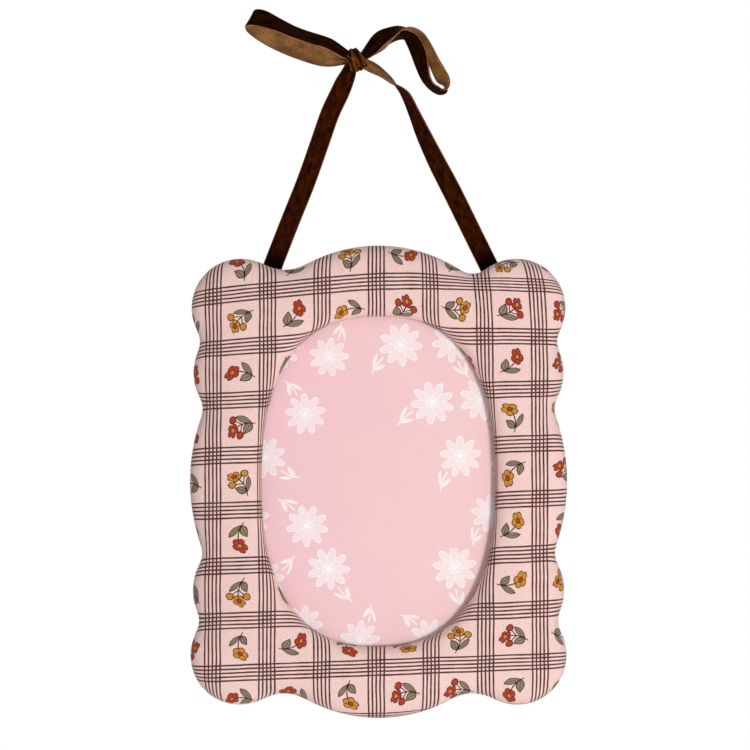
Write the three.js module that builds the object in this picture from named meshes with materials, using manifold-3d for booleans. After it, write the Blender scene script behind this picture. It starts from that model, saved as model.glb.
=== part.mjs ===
import * as THREE from 'three';
import { mergeVertices } from 'three/addons/utils/BufferGeometryUtils.js';
import Module from 'manifold-3d';

// A fabric covered photo frame with a padded scalloped front and an oval opening. It hangs by a
// velvet ribbon tied in a bow, and an easel leg on its back lets it stand on a table instead.
// Millimetres. Seen from the front, +X is right and +Z is up, and the front faces -Y.
// The frame is drawn about the middle of its front board's face, then moved so that the origin
// is the point under the knot where a hook carries the ribbon.

const wasm = await Module();
wasm.setup();

// Picture card, which the frame is sized round
const cardWidth = 139.7;
const cardHeight = 190.5;
const cardThickness = 0.4;

// Outline of the covered front, from the card's edge outward
const sideBorder = 31.65;
const endBorder = 31.75;
const frameWidth = cardWidth + 2 * sideBorder;
const frameHeight = cardHeight + 2 * endBorder;
const sideLobeBulge = 6.2;
const cornerLobeBulge = 28.7;
const sideDipRadius = 12.5;
const crownDipRadius = 22;
// The right ribbon pulls the cloth in where it passes the crown, so that dip is tighter
const pulledDipRadius = 11;
// Where neighbouring lobes meet, as shares of the half width and half height
const dipShares = [[0.918, 0.317], [0.926, 0.594], [0.513, 0.85]];
const MIDDLE_STEPS = 2;
const SIDE_STEPS = 2;
const CORNER_STEPS = 6;
const CROWN_STEPS = 2;
const DIP_STEPS = 2;
// How much finer the boards behind the front follow the same outline
const REAR_DETAIL = 2;
const OUTER_ROLL_STEPS = 3;
const ROLL_STEPS = 2;

// Oval opening, as the cloth leaves it, from the card's edge inward
const sideLap = 6.95;
const endLap = 6.45;
const openingWidth = cardWidth - 2 * sideLap;
const openingHeight = cardHeight - 2 * endLap;
const OPENING_POWER = 2.45;

// Cloth, wadding and boards, from the front to the back
const clearance = 0.3;
const CURVE_SEGMENTS = 8;
const ROUND_SIDES = 16;
const coverThickness = 0.6;
const paddingHeight = 8.4;
const outerRoll = 13;
const innerRoll = 9;
const boardThickness = 3;
const rearInset = 1;
const spacerInset = 4;
const liningThickness = 0.5;

// Picture pack and its pocket
const paneThickness = 1.5;
const backingThickness = 1.2;
const cardPlay = 0.8;
const cornerRelief = 2;
const pocketWidth = cardWidth + 2 * cardPlay;
const pocketHeight = cardHeight + 2 * cardPlay;

// Back panel and its thumb chamfer
const panelThickness = 3.8;
const panelPlay = 0.5;
const panelChamfer = 0.6;

// Easel leg
const hingeDrop = 34.05;
const footRise = 6;
const hingeHeight = pocketHeight / 2 - hingeDrop;
const legLength = hingeHeight + frameHeight / 2 - footRise;
const legTopWidth = 46;
const legFootWidth = 56;
const legThickness = 3;
const legCorner = 9;
const legBevel = 0.5;

// Leg hinge
const leafThickness = 0.8;
const leafWidth = 26;
const leafLength = 17;
const leafCorner = 3;
const knuckleRadius = 1.8;
const middleKnuckle = 11;
const pinRadius = 0.8;
const pinHeadRadius = 1.5;
const pinHeadThickness = 0.7;
const stopTongueWidth = 7;
const stopTongueLength = 5;
const STOP_ANGLE = 32;

// Rivets
const rivetSpacing = 15;
const rivetInset = 6.5;
const rivetShankRadius = 1.2;
const rivetHeadRadius = 2.5;
const rivetHeadHeight = 0.9;

// Turn buttons and their screws
const buttonOffset = 7;
const buttonDrop = 38.05;
const buttonHeight = pocketHeight / 2 - buttonDrop;
const buttonReach = 14.5;
const buttonWidth = 9;
const buttonTipWidth = 6.5;
const buttonThickness = 1;
const buttonBevel = 0.2;
const screwShankRadius = 1.1;
const screwGrip = 2.4;
const screwHeadRadius = 2.8;
const screwHeadHeight = 1.5;
const screwSlotWidth = 0.7;
const screwSlotDepth = 0.7;

// Ribbon and its channels in the spacer
const ribbonWidth = 10.4;
const ribbonThickness = 0.9;
const ribbonGrip = 14;
const channelEnd = 1;
const LEFT_STRAND_STEPS = 18;
const RIGHT_STRAND_STEPS = 32;

// Where the ribbon goes in behind the top edge, as shares of the half width, and down from the top
const leftEntryShare = 0.5635;
const rightEntryShare = 0.5872;
const entryDrop = 10.4;
const entryHeight = frameHeight / 2 - entryDrop;

// Knot, across from the middle of the frame and up from where the ribbon goes in
const knotAcross = -12.7;
const strandRise = 112.1;
const knotHeight = entryHeight + strandRise;
const knotLength = 11;
const knotRadius = 6.6;
const KNOT_TILT = 25;
const KNOT_SIDES = 20;
const knotDepthShare = 0.86;
// Profile of the wraps, along the knot and out from its axis
const knotProfileShares = [
  [-0.5, 0.62], [-0.44, 0.88], [-0.3, 1], [-0.17, 0.94], [-0.12, 0.82], [-0.06, 0.95],
  [0.08, 1.04], [0.2, 0.95], [0.25, 0.83], [0.31, 0.93], [0.42, 0.86], [0.5, 0.6],
];

// Loops of the bow
const leftLoopReach = 58;
const leftLoopDepth = 6.5;
const rightLoopReach = 46;
const rightLoopDepth = 5;
const LEFT_LOOP_STEPS = 44;
const RIGHT_LOOP_STEPS = 64;

// Places for the hook, under the knot
const hookBelowKnot = 8.2;
const hookRight = 1.6;

// General overrun of every cut past the face it starts from
const overrun = 1;

// Levels of the layers along Y, worked out from the front board's face
const frontBoardBack = boardThickness;
const spacerFront = frontBoardBack + clearance;
const insertFront = spacerFront + paneThickness + clearance;
const backingFront = insertFront + cardThickness + clearance;
const spacerBack = backingFront + backingThickness;
const rearBoardFront = spacerBack + clearance;
const rearBoardBack = rearBoardFront + boardThickness;
const liningFront = rearBoardBack + clearance;
const liningBack = liningFront + liningThickness;
const ribbonLevel = spacerBack - clearance - ribbonThickness / 2;
const leafFront = liningBack + clearance;
const leafBack = leafFront + leafThickness;
const hingeAxis = leafFront + knuckleRadius;
const legFront = leafBack + clearance;
const legBack = legFront + legThickness;
const buttonFront = liningBack + clearance;
const buttonBack = buttonFront + buttonThickness;

const boreClearance = clearance;
const radians = THREE.MathUtils.degToRad;

const finishes = {
  cotton: new THREE.MeshStandardMaterial({ color: 0xecccc0, roughness: 0.92, metalness: 0 }),
  wadding: new THREE.MeshStandardMaterial({ color: 0xf2efe8, roughness: 0.98, metalness: 0 }),
  lining: new THREE.MeshStandardMaterial({ color: 0xd9bdb0, roughness: 0.95, metalness: 0 }),
  board: new THREE.MeshStandardMaterial({ color: 0xa98a66, roughness: 0.85, metalness: 0 }),
  card: new THREE.MeshStandardMaterial({ color: 0xefbcc2, roughness: 0.6, metalness: 0 }),
  backing: new THREE.MeshStandardMaterial({ color: 0xb9b1a4, roughness: 0.9, metalness: 0 }),
  pane: new THREE.MeshStandardMaterial({ color: 0xf4f8f8, roughness: 0.05, metalness: 0 }),
  steel: new THREE.MeshStandardMaterial({ color: 0xb8b8b4, roughness: 0.35, metalness: 0.9 }),
  velvet: new THREE.MeshStandardMaterial({ color: 0x2c130b, roughness: 0.95, metalness: 0 }),
};

const group = new THREE.Group();
const frame = new THREE.Group();
group.add(frame);

function addPiece(name, geometry, finish) {
  const piece = new THREE.Mesh(geometry, finish.clone());
  piece.name = name;
  frame.add(piece);
  return piece;
}

// Solids for cuts and joins

function toSolid(geometry) {
  const bare = geometry.clone();
  bare.deleteAttribute('normal');
  bare.deleteAttribute('uv');
  const merged = mergeVertices(bare);
  return new wasm.Manifold(new wasm.Mesh({
    numProp: 3,
    vertProperties: new Float32Array(merged.attributes.position.array),
    triVerts: new Uint32Array(merged.index.array),
  }));
}

function toGeometry(solid) {
  const mesh = solid.getMesh();
  const geometry = new THREE.BufferGeometry();
  geometry.setAttribute('position', new THREE.BufferAttribute(new Float32Array(mesh.vertProperties), 3));
  geometry.setIndex(new THREE.BufferAttribute(new Uint32Array(mesh.triVerts), 1));
  const flat = geometry.toNonIndexed();
  flat.computeVertexNormals();
  return flat;
}

function cut(body, ...tools) {
  let solid = toSolid(body);
  for (const tool of tools) solid = solid.subtract(toSolid(tool));
  return toGeometry(solid);
}

function join(body, ...others) {
  let solid = toSolid(body);
  for (const other of others) solid = solid.add(toSolid(other));
  return toGeometry(solid);
}

// A flat plate of the given outline, whose outline lies across X and Z
function plate(shape, front, back, bevel = 0) {
  const thickness = back - front;
  const geometry = new THREE.ExtrudeGeometry(shape, {
    depth: thickness - 2 * bevel,
    bevelEnabled: bevel > 0,
    bevelThickness: bevel,
    bevelSize: bevel,
    bevelOffset: -bevel,
    bevelSegments: 1,
    curveSegments: CURVE_SEGMENTS,
  });
  geometry.rotateX(Math.PI / 2);
  geometry.translate(0, back - bevel, 0);
  return geometry;
}

function pinAlongY(radius, front, back, x, z) {
  const geometry = new THREE.CylinderGeometry(radius, radius, back - front, ROUND_SIDES);
  geometry.translate(x, (front + back) / 2, z);
  return geometry;
}

function pinAlongX(radius, left, right, y, z) {
  const geometry = new THREE.CylinderGeometry(radius, radius, right - left, ROUND_SIDES);
  geometry.rotateZ(Math.PI / 2);
  geometry.translate((left + right) / 2, y, z);
  return geometry;
}

function block(left, right, front, back, low, high) {
  const geometry = new THREE.BoxGeometry(right - left, back - front, high - low);
  geometry.translate((left + right) / 2, (front + back) / 2, (low + high) / 2);
  return geometry;
}

function rectangle(width, height, corner = 0) {
  const shape = new THREE.Shape();
  const w = width / 2;
  const h = height / 2;
  shape.moveTo(-w + corner, -h);
  shape.lineTo(w - corner, -h);
  if (corner > 0) shape.absarc(w - corner, -h + corner, corner, -Math.PI / 2, 0, false);
  shape.lineTo(w, h - corner);
  if (corner > 0) shape.absarc(w - corner, h - corner, corner, 0, Math.PI / 2, false);
  shape.lineTo(-w + corner, h);
  if (corner > 0) shape.absarc(-w + corner, h - corner, corner, Math.PI / 2, Math.PI, false);
  shape.lineTo(-w, -h + corner);
  if (corner > 0) shape.absarc(-w + corner, -h + corner, corner, Math.PI, Math.PI * 1.5, false);
  return shape;
}

// Scalloped outline: arcs bulge between the dips, and a concave fillet rounds each dip

function arcThrough(from, to, bulge) {
  const middle = from.clone().add(to).multiplyScalar(0.5);
  const half = from.distanceTo(to) / 2;
  const radius = (half * half + bulge * bulge) / (2 * bulge);
  const outward = new THREE.Vector2(to.y - from.y, from.x - to.x).normalize();
  return { centre: middle.addScaledVector(outward, bulge - radius), radius };
}

// The circle that touches two lobes from outside, beside the dip between them
function filletBetween(first, second, radius) {
  const reachFirst = first.radius + radius;
  const reachSecond = second.radius + radius;
  const line = second.centre.clone().sub(first.centre);
  const distance = line.length();
  line.normalize();
  const along = (reachFirst ** 2 - reachSecond ** 2 + distance ** 2) / (2 * distance);
  const aside = Math.sqrt(Math.max(reachFirst ** 2 - along ** 2, 0));
  const centre = first.centre.clone().addScaledVector(line, along);
  centre.addScaledVector(new THREE.Vector2(line.y, -line.x), aside);
  return { centre, radius };
}

const halfWidth = frameWidth / 2;
const halfHeight = frameHeight / 2;
const [lowDip, highDip, crownDip] = dipShares.map(
  ([across, up]) => new THREE.Vector2(across * halfWidth, up * halfHeight));
const mirrored = (point, acrossSign, upSign) => new THREE.Vector2(point.x * acrossSign, point.y * upSign);

const middleLobe = arcThrough(mirrored(lowDip, 1, -1), lowDip, halfWidth - lowDip.x);
const sideLobe = arcThrough(lowDip, highDip, sideLobeBulge);
const cornerLobe = arcThrough(highDip, crownDip, cornerLobeBulge);
const crownLobe = arcThrough(crownDip, mirrored(crownDip, -1, 1), halfHeight - crownDip.y);
const lowFillet = filletBetween(middleLobe, sideLobe, sideDipRadius);
const highFillet = filletBetween(sideLobe, cornerLobe, sideDipRadius);
const crownFillet = filletBetween(cornerLobe, crownLobe, crownDipRadius);
const pulledFillet = filletBetween(cornerLobe, crownLobe, pulledDipRadius);

function angleTo(from, to) {
  return Math.atan2(to.y - from.y, to.x - from.x);
}

function arcPoints(circle, start, end, turn, inset, steps) {
  let sweep = end - start;
  if (turn > 0 && sweep < 0) sweep += 2 * Math.PI;
  if (turn < 0 && sweep > 0) sweep -= 2 * Math.PI;
  const radius = circle.radius - turn * inset;
  const points = [];
  for (let step = 0; step < steps; step += 1) {
    const angle = start + (sweep * step) / steps;
    points.push(new THREE.Vector2(
      circle.centre.x + radius * Math.cos(angle), circle.centre.y + radius * Math.sin(angle)));
  }
  return points;
}

// A quarter of the outline from the middle of the right side to the middle of the top. Every
// inset has the same count of points, so that outlines of different insets can be joined up.
function quarterOutline(inset, detail, topFillet) {
  const lobes = [middleLobe, sideLobe, cornerLobe, crownLobe];
  const fillets = [lowFillet, highFillet, topFillet];
  const lobeSteps = [MIDDLE_STEPS, SIDE_STEPS, CORNER_STEPS, CROWN_STEPS];
  const points = [];
  lobes.forEach((lobe, index) => {
    const before = fillets[index - 1];
    const after = fillets[index];
    const start = before ? angleTo(lobe.centre, before.centre) : 0;
    const end = after ? angleTo(lobe.centre, after.centre) : Math.PI / 2;
    points.push(...arcPoints(lobe, start, end, 1, inset, lobeSteps[index] * detail));
    if (after) {
      const enter = angleTo(after.centre, lobe.centre);
      const leave = angleTo(after.centre, lobes[index + 1].centre);
      points.push(...arcPoints(after, enter, leave, -1, inset, DIP_STEPS * detail));
    }
  });
  points.push(new THREE.Vector2(0, halfHeight - inset));
  return points;
}

function outline(inset, detail = 1) {
  const pulled = quarterOutline(inset, detail, pulledFillet);
  const quarter = quarterOutline(inset, detail, crownFillet);
  const back = quarter.slice(1, -1).reverse();
  return [
    ...pulled,
    ...back.map((point) => mirrored(point, -1, 1)),
    ...quarter.slice(0, -1).map((point) => mirrored(point, -1, -1)),
    mirrored(quarter[quarter.length - 1], 1, -1),
    ...back.map((point) => mirrored(point, 1, -1)),
  ];
}

// The oval grown outward by an offset, with one point for each angle asked for
function ovalPoint(angle, offset) {
  const a = openingWidth / 2;
  const b = openingHeight / 2;
  const cosine = Math.cos(angle);
  const sine = Math.sin(angle);
  const power = 2 / OPENING_POWER;
  const point = new THREE.Vector2(
    a * Math.sign(cosine) * Math.abs(cosine) ** power, b * Math.sign(sine) * Math.abs(sine) ** power);
  const normal = new THREE.Vector2(
    Math.sign(point.x) * Math.abs(point.x / a) ** (OPENING_POWER - 1) / a,
    Math.sign(point.y) * Math.abs(point.y / b) ** (OPENING_POWER - 1) / b).normalize();
  return point.addScaledVector(normal, offset);
}

// The oval point that faces a point of the outline, by its angle once the oval is made round
function facingAngle(point) {
  const flat = point.y / openingHeight;
  const wide = point.x / openingWidth;
  const power = OPENING_POWER / 2;
  return Math.atan2(Math.sign(flat) * Math.abs(flat) ** power, Math.sign(wide) * Math.abs(wide) ** power);
}

function oval(offset, guide) {
  return guide.map((point) => ovalPoint(facingAngle(point), offset));
}

function shapeOf(points, hole) {
  const shape = new THREE.Shape(points);
  if (hole) shape.holes.push(new THREE.Path([...hole].reverse()));
  return shape;
}

// A ring lofted through closed sections. Each row of the section lies beside the outer edge or
// the inner edge of the ring, at an inset from that edge and at a level along Y.
function loftedRing(section) {
  const guide = outline(0);
  const rows = section.map(({ edge, inset, level }) => ({
    level,
    points: edge === 'outer' ? outline(inset) : oval(inset, guide),
  }));
  const count = guide.length;
  const positions = [];
  rows.forEach((row) => row.points.forEach((point) => positions.push(point.x, row.level, point.y)));
  const index = [];
  rows.forEach((row, rowNumber) => {
    const next = (rowNumber + 1) % rows.length;
    for (let place = 0; place < count; place += 1) {
      const beside = (place + 1) % count;
      const a = rowNumber * count + place;
      const b = rowNumber * count + beside;
      const c = next * count + beside;
      const d = next * count + place;
      index.push(a, b, c, a, c, d);
    }
  });
  const geometry = new THREE.BufferGeometry();
  geometry.setAttribute('position', new THREE.Float32BufferAttribute(positions, 3));
  geometry.setIndex(index);
  geometry.computeVertexNormals();
  return geometry;
}

// Rows up one rolled edge. The roll is a quarter of an ellipse from the board's face to the crown.
function rolledEdge(edge, skin, foot, steps) {
  const roll = edge === 'outer' ? outerRoll : innerRoll;
  const width = roll - skin;
  const height = paddingHeight + clearance + coverThickness - skin;
  const rows = [{ edge, inset: skin, level: foot }];
  for (let step = 0; step <= steps; step += 1) {
    const angle = (Math.PI / 2) * (step / steps);
    rows.push({ edge, inset: skin + width * (1 - Math.cos(angle)), level: -height * Math.sin(angle) });
  }
  return rows;
}

// Front: padded, covered and scalloped

function frontCover() {
  const outside = [
    ...rolledEdge('outer', 0, frontBoardBack, OUTER_ROLL_STEPS),
    ...rolledEdge('inner', 0, frontBoardBack, ROLL_STEPS).reverse(),
  ];
  const inside = [
    ...rolledEdge('inner', coverThickness, frontBoardBack, ROLL_STEPS),
    ...rolledEdge('outer', coverThickness, frontBoardBack, ROLL_STEPS).reverse(),
  ];
  return loftedRing([...outside, ...inside]);
}

function frontPadding() {
  const skin = coverThickness + clearance;
  // The foot stands just above the board, so the row on the board's face is left out
  const rows = (edge) => rolledEdge(edge, skin, -clearance, ROLL_STEPS).filter((row, number) => number !== 1);
  return loftedRing([...rows('outer'), ...rows('inner').reverse()]);
}

function frontBoard() {
  const skin = coverThickness + clearance;
  const guide = outline(0);
  return plate(shapeOf(outline(skin), oval(skin, guide)), 0, frontBoardBack);
}

addPiece('front_cover', frontCover(), finishes.cotton);
addPiece('front_padding', frontPadding(), finishes.wadding);
addPiece('front_board', frontBoard(), finishes.board);

// Picture pack in the spacer's pocket

addPiece('window_pane', plate(rectangle(cardWidth, cardHeight), spacerFront, spacerFront + paneThickness),
  finishes.pane);
addPiece('photo_insert', plate(rectangle(cardWidth, cardHeight), insertFront, insertFront + cardThickness),
  finishes.card);
addPiece('backing_card', plate(rectangle(cardWidth, cardHeight), backingFront, spacerBack),
  finishes.backing);

// Ribbon routes

// Each strand starts inside its channel and ends in the knot. Its rows give shares of the way
// across and of the way up, the turn of the face about the strand in degrees and the width.
const entries = {
  left: new THREE.Vector2(-halfWidth * leftEntryShare, entryHeight),
  right: new THREE.Vector2(halfWidth * rightEntryShare, entryHeight),
};
const knotCentre = new THREE.Vector3(knotAcross, ribbonLevel, knotHeight);
const strandShares = {
  left: [
    [0, 0, 0, 1], [0.2, 0.205, 1, 1], [0.402, 0.407, 2, 1], [0.56, 0.585, 3, 1], [0.699, 0.743, 4, 1],
    [0.818, 0.844, 6, 1], [0.863, 0.885, 10, 0.96], [0.917, 0.93, 18, 0.8], [0.955, 0.972, 26, 0.6],
  ],
  right: [
    [0, 0, 0, 1], [0.137, 0.18, -4, 1], [0.273, 0.359, -10, 1], [0.389, 0.503, -26, 1],
    [0.497, 0.647, -44, 1], [0.562, 0.743, -58, 1], [0.621, 0.825, -68, 1], [0.679, 0.868, -88, 0.98],
    [0.72, 0.89, -104, 0.96], [0.76, 0.913, -112, 0.94], [0.803, 0.934, -118, 0.88],
    [0.848, 0.952, -132, 0.76], [0.891, 0.967, -146, 0.66], [0.945, 0.985, -150, 0.56],
  ],
};

// A flat band through stations of centre, width direction and width
function band(stations) {
  const positions = [];
  const index = [];
  stations.forEach(({ centre, tangent, side, width }) => {
    const face = new THREE.Vector3().crossVectors(tangent, side).normalize();
    const across = new THREE.Vector3().crossVectors(face, tangent).normalize();
    [[1, 1], [-1, 1], [-1, -1], [1, -1]].forEach(([a, f]) => {
      const corner = centre.clone()
        .addScaledVector(across, (a * width) / 2)
        .addScaledVector(face, (f * ribbonThickness) / 2);
      positions.push(corner.x, corner.y, corner.z);
    });
  });
  const last = stations.length - 1;
  for (let station = 0; station < last; station += 1) {
    for (let corner = 0; corner < 4; corner += 1) {
      const a = station * 4 + corner;
      const b = station * 4 + ((corner + 1) % 4);
      index.push(a, b, b + 4, a, b + 4, a + 4);
    }
  }
  index.push(0, 2, 1, 0, 3, 2);
  index.push(last * 4, last * 4 + 1, last * 4 + 2, last * 4, last * 4 + 2, last * 4 + 3);
  const geometry = new THREE.BufferGeometry();
  geometry.setAttribute('position', new THREE.Float32BufferAttribute(positions, 3));
  geometry.setIndex(index);
  geometry.computeVertexNormals();
  return geometry;
}

function interpolated(rows, column, place) {
  const scaled = place * (rows.length - 1);
  const low = Math.min(Math.floor(scaled), rows.length - 2);
  return THREE.MathUtils.lerp(rows[low][column], rows[low + 1][column], scaled - low);
}

function bandAlong(points, steps, sideAt, widthAt) {
  const curve = new THREE.CatmullRomCurve3(points, false, 'centripetal');
  const stations = [];
  for (let step = 0; step <= steps; step += 1) {
    const place = step / steps;
    const tangent = curve.getTangent(place);
    const width = ribbonWidth * widthAt(place);
    stations.push({ centre: curve.getPoint(place), tangent, side: sideAt(place, tangent), width });
  }
  return band(stations);
}

function strand(name, steps) {
  const rows = strandShares[name];
  const entry = entries[name];
  const across = knotAcross - entry.x;
  const up = knotHeight - entry.y;
  const points = rows.map(([acrossShare, upShare]) => new THREE.Vector3(
    entry.x + across * acrossShare, ribbonLevel, entry.y + up * upShare));
  const direction = points[1].clone().sub(points[0]).normalize();
  const grip = points[0].clone().addScaledVector(direction, -ribbonGrip);
  const routed = [grip, ...points];
  const padded = [rows[0], ...rows];
  const sideAt = (place, tangent) => {
    const turn = radians(interpolated(padded, 2, place));
    const depth = new THREE.Vector3(0, 1, 0);
    const flat = new THREE.Vector3().crossVectors(depth, tangent).normalize();
    return flat.multiplyScalar(Math.cos(turn)).addScaledVector(depth, Math.sin(turn));
  };
  return bandAlong(routed, steps, sideAt, (place) => interpolated(padded, 3, place));
}

function channelFor(name) {
  const rows = strandShares[name];
  const entry = entries[name];
  const slope = Math.atan2(
    (knotAcross - entry.x) * rows[1][0], (knotHeight - entry.y) * rows[1][1]);
  const channel = block(
    -ribbonWidth / 2 - clearance, ribbonWidth / 2 + clearance,
    ribbonLevel - ribbonThickness / 2 - clearance, spacerBack + overrun,
    -ribbonGrip - channelEnd, ribbonGrip + spacerInset);
  channel.rotateY(slope);
  channel.translate(entry.x, 0, entry.y);
  return channel;
}

function spacerFrame() {
  const ring = plate(shapeOf(outline(spacerInset, REAR_DETAIL)), spacerFront, spacerBack);
  const pocket = plate(rectangle(pocketWidth, pocketHeight, cornerRelief),
    spacerFront - overrun, spacerBack + overrun);
  return cut(ring, pocket, channelFor('left'), channelFor('right'));
}

addPiece('spacer_frame', spacerFrame(), finishes.board);

// Rear board, its lining, and the panel between them

const buttonPlaces = [
  { name: 'top_left', side: -1, level: 1 },
  { name: 'top_right', side: 1, level: 1 },
  { name: 'bottom_left', side: -1, level: -1 },
  { name: 'bottom_right', side: 1, level: -1 },
].map((place) => ({
  ...place,
  x: place.side * (pocketWidth / 2 + buttonOffset),
  z: place.level * buttonHeight,
}));

function screwHoles(front, back) {
  return buttonPlaces.map(({ x, z }) => pinAlongY(
    screwShankRadius + boreClearance, front - overrun, back + overrun, x, z));
}

function loadingOpening(front, back) {
  return plate(rectangle(pocketWidth, pocketHeight), front - overrun, back + overrun);
}

function backBoard() {
  const edge = outline(rearInset + liningThickness + clearance, REAR_DETAIL);
  const board = plate(shapeOf(edge), rearBoardFront, rearBoardBack);
  const opening = loadingOpening(rearBoardFront, rearBoardBack);
  return cut(board, opening, ...screwHoles(rearBoardFront, rearBoardBack));
}

function backCover() {
  const whole = plate(shapeOf(outline(rearInset, REAR_DETAIL)), rearBoardFront, liningBack);
  const inner = outline(rearInset + liningThickness, REAR_DETAIL);
  const inside = plate(shapeOf(inner), rearBoardFront - overrun, liningFront);
  const opening = loadingOpening(rearBoardFront, liningBack);
  return cut(whole, inside, opening, ...screwHoles(rearBoardFront, liningBack));
}

const panelWidth = pocketWidth - 2 * panelPlay;
const panelHeight = pocketHeight - 2 * panelPlay;
const rivetPlaces = [{ name: 'left', x: -rivetSpacing / 2 }, { name: 'right', x: rivetSpacing / 2 }];
const panelRivetLevel = hingeHeight + knuckleRadius + leafLength - rivetInset;
const legRivetLevel = hingeHeight - knuckleRadius - leafLength + rivetInset;

function rivetHoles(front, back, level) {
  return rivetPlaces.map(({ x }) => pinAlongY(
    rivetShankRadius + boreClearance, front - overrun, back + overrun, x, level));
}

function backPanel() {
  const panel = plate(rectangle(panelWidth, panelHeight, cornerRelief),
    liningBack - panelThickness, liningBack, panelChamfer);
  return cut(panel, ...rivetHoles(liningBack - panelThickness, liningBack, panelRivetLevel));
}

addPiece('back_board', backBoard(), finishes.board);
addPiece('back_cover', backCover(), finishes.lining);
addPiece('back_panel', backPanel(), finishes.board);

// Easel leg and its hinge

function legShape() {
  const top = hingeHeight - knuckleRadius - clearance;
  const foot = hingeHeight - legLength;
  const halfTop = legTopWidth / 2;
  const halfFoot = legFootWidth / 2;
  const shape = new THREE.Shape();
  shape.moveTo(-halfFoot + legCorner / 2, foot);
  shape.lineTo(halfFoot - legCorner / 2, foot);
  shape.quadraticCurveTo(halfFoot, foot, halfFoot, foot + legCorner / 2);
  shape.bezierCurveTo(halfFoot, foot + legLength / 4, halfTop, foot + legLength / 2,
    halfTop, top - legCorner);
  shape.quadraticCurveTo(halfTop, top, halfTop - legCorner, top);
  shape.lineTo(-halfTop + legCorner, top);
  shape.quadraticCurveTo(-halfTop, top, -halfTop, top - legCorner);
  shape.bezierCurveTo(-halfTop, foot + legLength / 2, -halfFoot, foot + legLength / 4,
    -halfFoot, foot + legCorner / 2);
  shape.quadraticCurveTo(-halfFoot, foot, -halfFoot + legCorner / 2, foot);
  return shape;
}

function easelLeg() {
  return cut(plate(legShape(), legFront, legBack, legBevel), ...rivetHoles(legFront, legBack, legRivetLevel));
}

// A leaf reaches from the hinge line up or down, with its corners rounded at the far end
function leafPlate(direction) {
  const shape = new THREE.Shape();
  const near = hingeHeight;
  const far = hingeHeight + direction * (knuckleRadius + leafLength);
  const half = leafWidth / 2;
  const points = [
    [-half, near], [half, near], [half, far - direction * leafCorner],
    [half - leafCorner, far], [-half + leafCorner, far], [-half, far - direction * leafCorner],
  ];
  const ordered = direction > 0 ? points : points.reverse();
  shape.setFromPoints(ordered.map(([x, z]) => new THREE.Vector2(x, z)));
  return plate(shape, leafFront, leafBack);
}

// Room round the other leaf's knuckles, so that neither leaf fouls them
function knuckleRoom(left, right) {
  const reach = knuckleRadius + clearance;
  return block(left, right, leafFront - overrun, hingeAxis + reach,
    hingeHeight - reach, hingeHeight + reach);
}

const middleHalf = middleKnuckle / 2;
const leafHalf = leafWidth / 2;
const bore = () => pinAlongX(pinRadius + boreClearance, -leafHalf - overrun, leafHalf + overrun,
  hingeAxis, hingeHeight);

function hingeFixedLeaf() {
  const gap = middleHalf + clearance;
  const room = knuckleRoom(-gap, gap);
  const solid = toSolid(leafPlate(1)).subtract(toSolid(room));
  const joined = [-1, 1].reduce((body, side) => body.add(toSolid(pinAlongX(
    knuckleRadius, Math.min(side * gap, side * leafHalf), Math.max(side * gap, side * leafHalf),
    hingeAxis, hingeHeight))), solid);
  const drilled = joined.subtract(toSolid(bore()));
  const holes = rivetHoles(leafFront, leafBack, panelRivetLevel);
  return toGeometry(holes.reduce((body, hole) => body.subtract(toSolid(hole)), drilled));
}

// The tongue leans back above the pin and meets the fixed leaf when the leg is fully open
function stopTongue() {
  const front = leafBack - hingeAxis;
  const tongue = block(-stopTongueWidth / 2, stopTongueWidth / 2,
    front, front + leafThickness, 0, knuckleRadius + stopTongueLength);
  tongue.rotateX(-radians(STOP_ANGLE));
  tongue.translate(0, hingeAxis, hingeHeight);
  return tongue;
}

function hingeMovingLeaf() {
  const gap = middleHalf + clearance;
  const left = knuckleRoom(-leafHalf - overrun, -middleHalf);
  const right = knuckleRoom(middleHalf, leafHalf + overrun);
  const room = [left, right].reduce(
    (body, tool) => body.subtract(toSolid(tool)), toSolid(leafPlate(-1)));
  const knuckle = pinAlongX(knuckleRadius, -middleHalf, middleHalf, hingeAxis, hingeHeight);
  const joined = room.add(toSolid(knuckle)).add(toSolid(stopTongue()));
  const drilled = joined.subtract(toSolid(bore()));
  const holes = rivetHoles(leafFront, leafBack, legRivetLevel);
  return toGeometry(holes.reduce((body, hole) => body.subtract(toSolid(hole)), drilled));
}

function hingePin() {
  const near = leafHalf + clearance;
  const far = near + pinHeadThickness;
  const middle = (near + far) / 2;
  const shank = pinAlongX(pinRadius, -middle, middle, hingeAxis, hingeHeight);
  const leftHead = pinAlongX(pinHeadRadius, -far, -near, hingeAxis, hingeHeight);
  const rightHead = pinAlongX(pinHeadRadius, near, far, hingeAxis, hingeHeight);
  return join(shank, leftHead, rightHead);
}

// A rivet lies along Y with a domed head at its back end
function rivet(front, seat, x, z) {
  const rise = rivetHeadHeight;
  const profile = [
    new THREE.Vector2(0, front), new THREE.Vector2(rivetShankRadius, front),
    new THREE.Vector2(rivetShankRadius, seat), new THREE.Vector2(rivetHeadRadius, seat),
  ];
  const domeShares = [[0.97, 0.4], [0.78, 0.75], [0.42, 0.96]];
  domeShares.forEach(([out, up]) => profile.push(new THREE.Vector2(rivetHeadRadius * out, seat + rise * up)));
  profile.push(new THREE.Vector2(0, seat + rise));
  const geometry = new THREE.LatheGeometry(profile, ROUND_SIDES);
  geometry.translate(x, 0, z);
  return toGeometry(toSolid(geometry));
}

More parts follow.
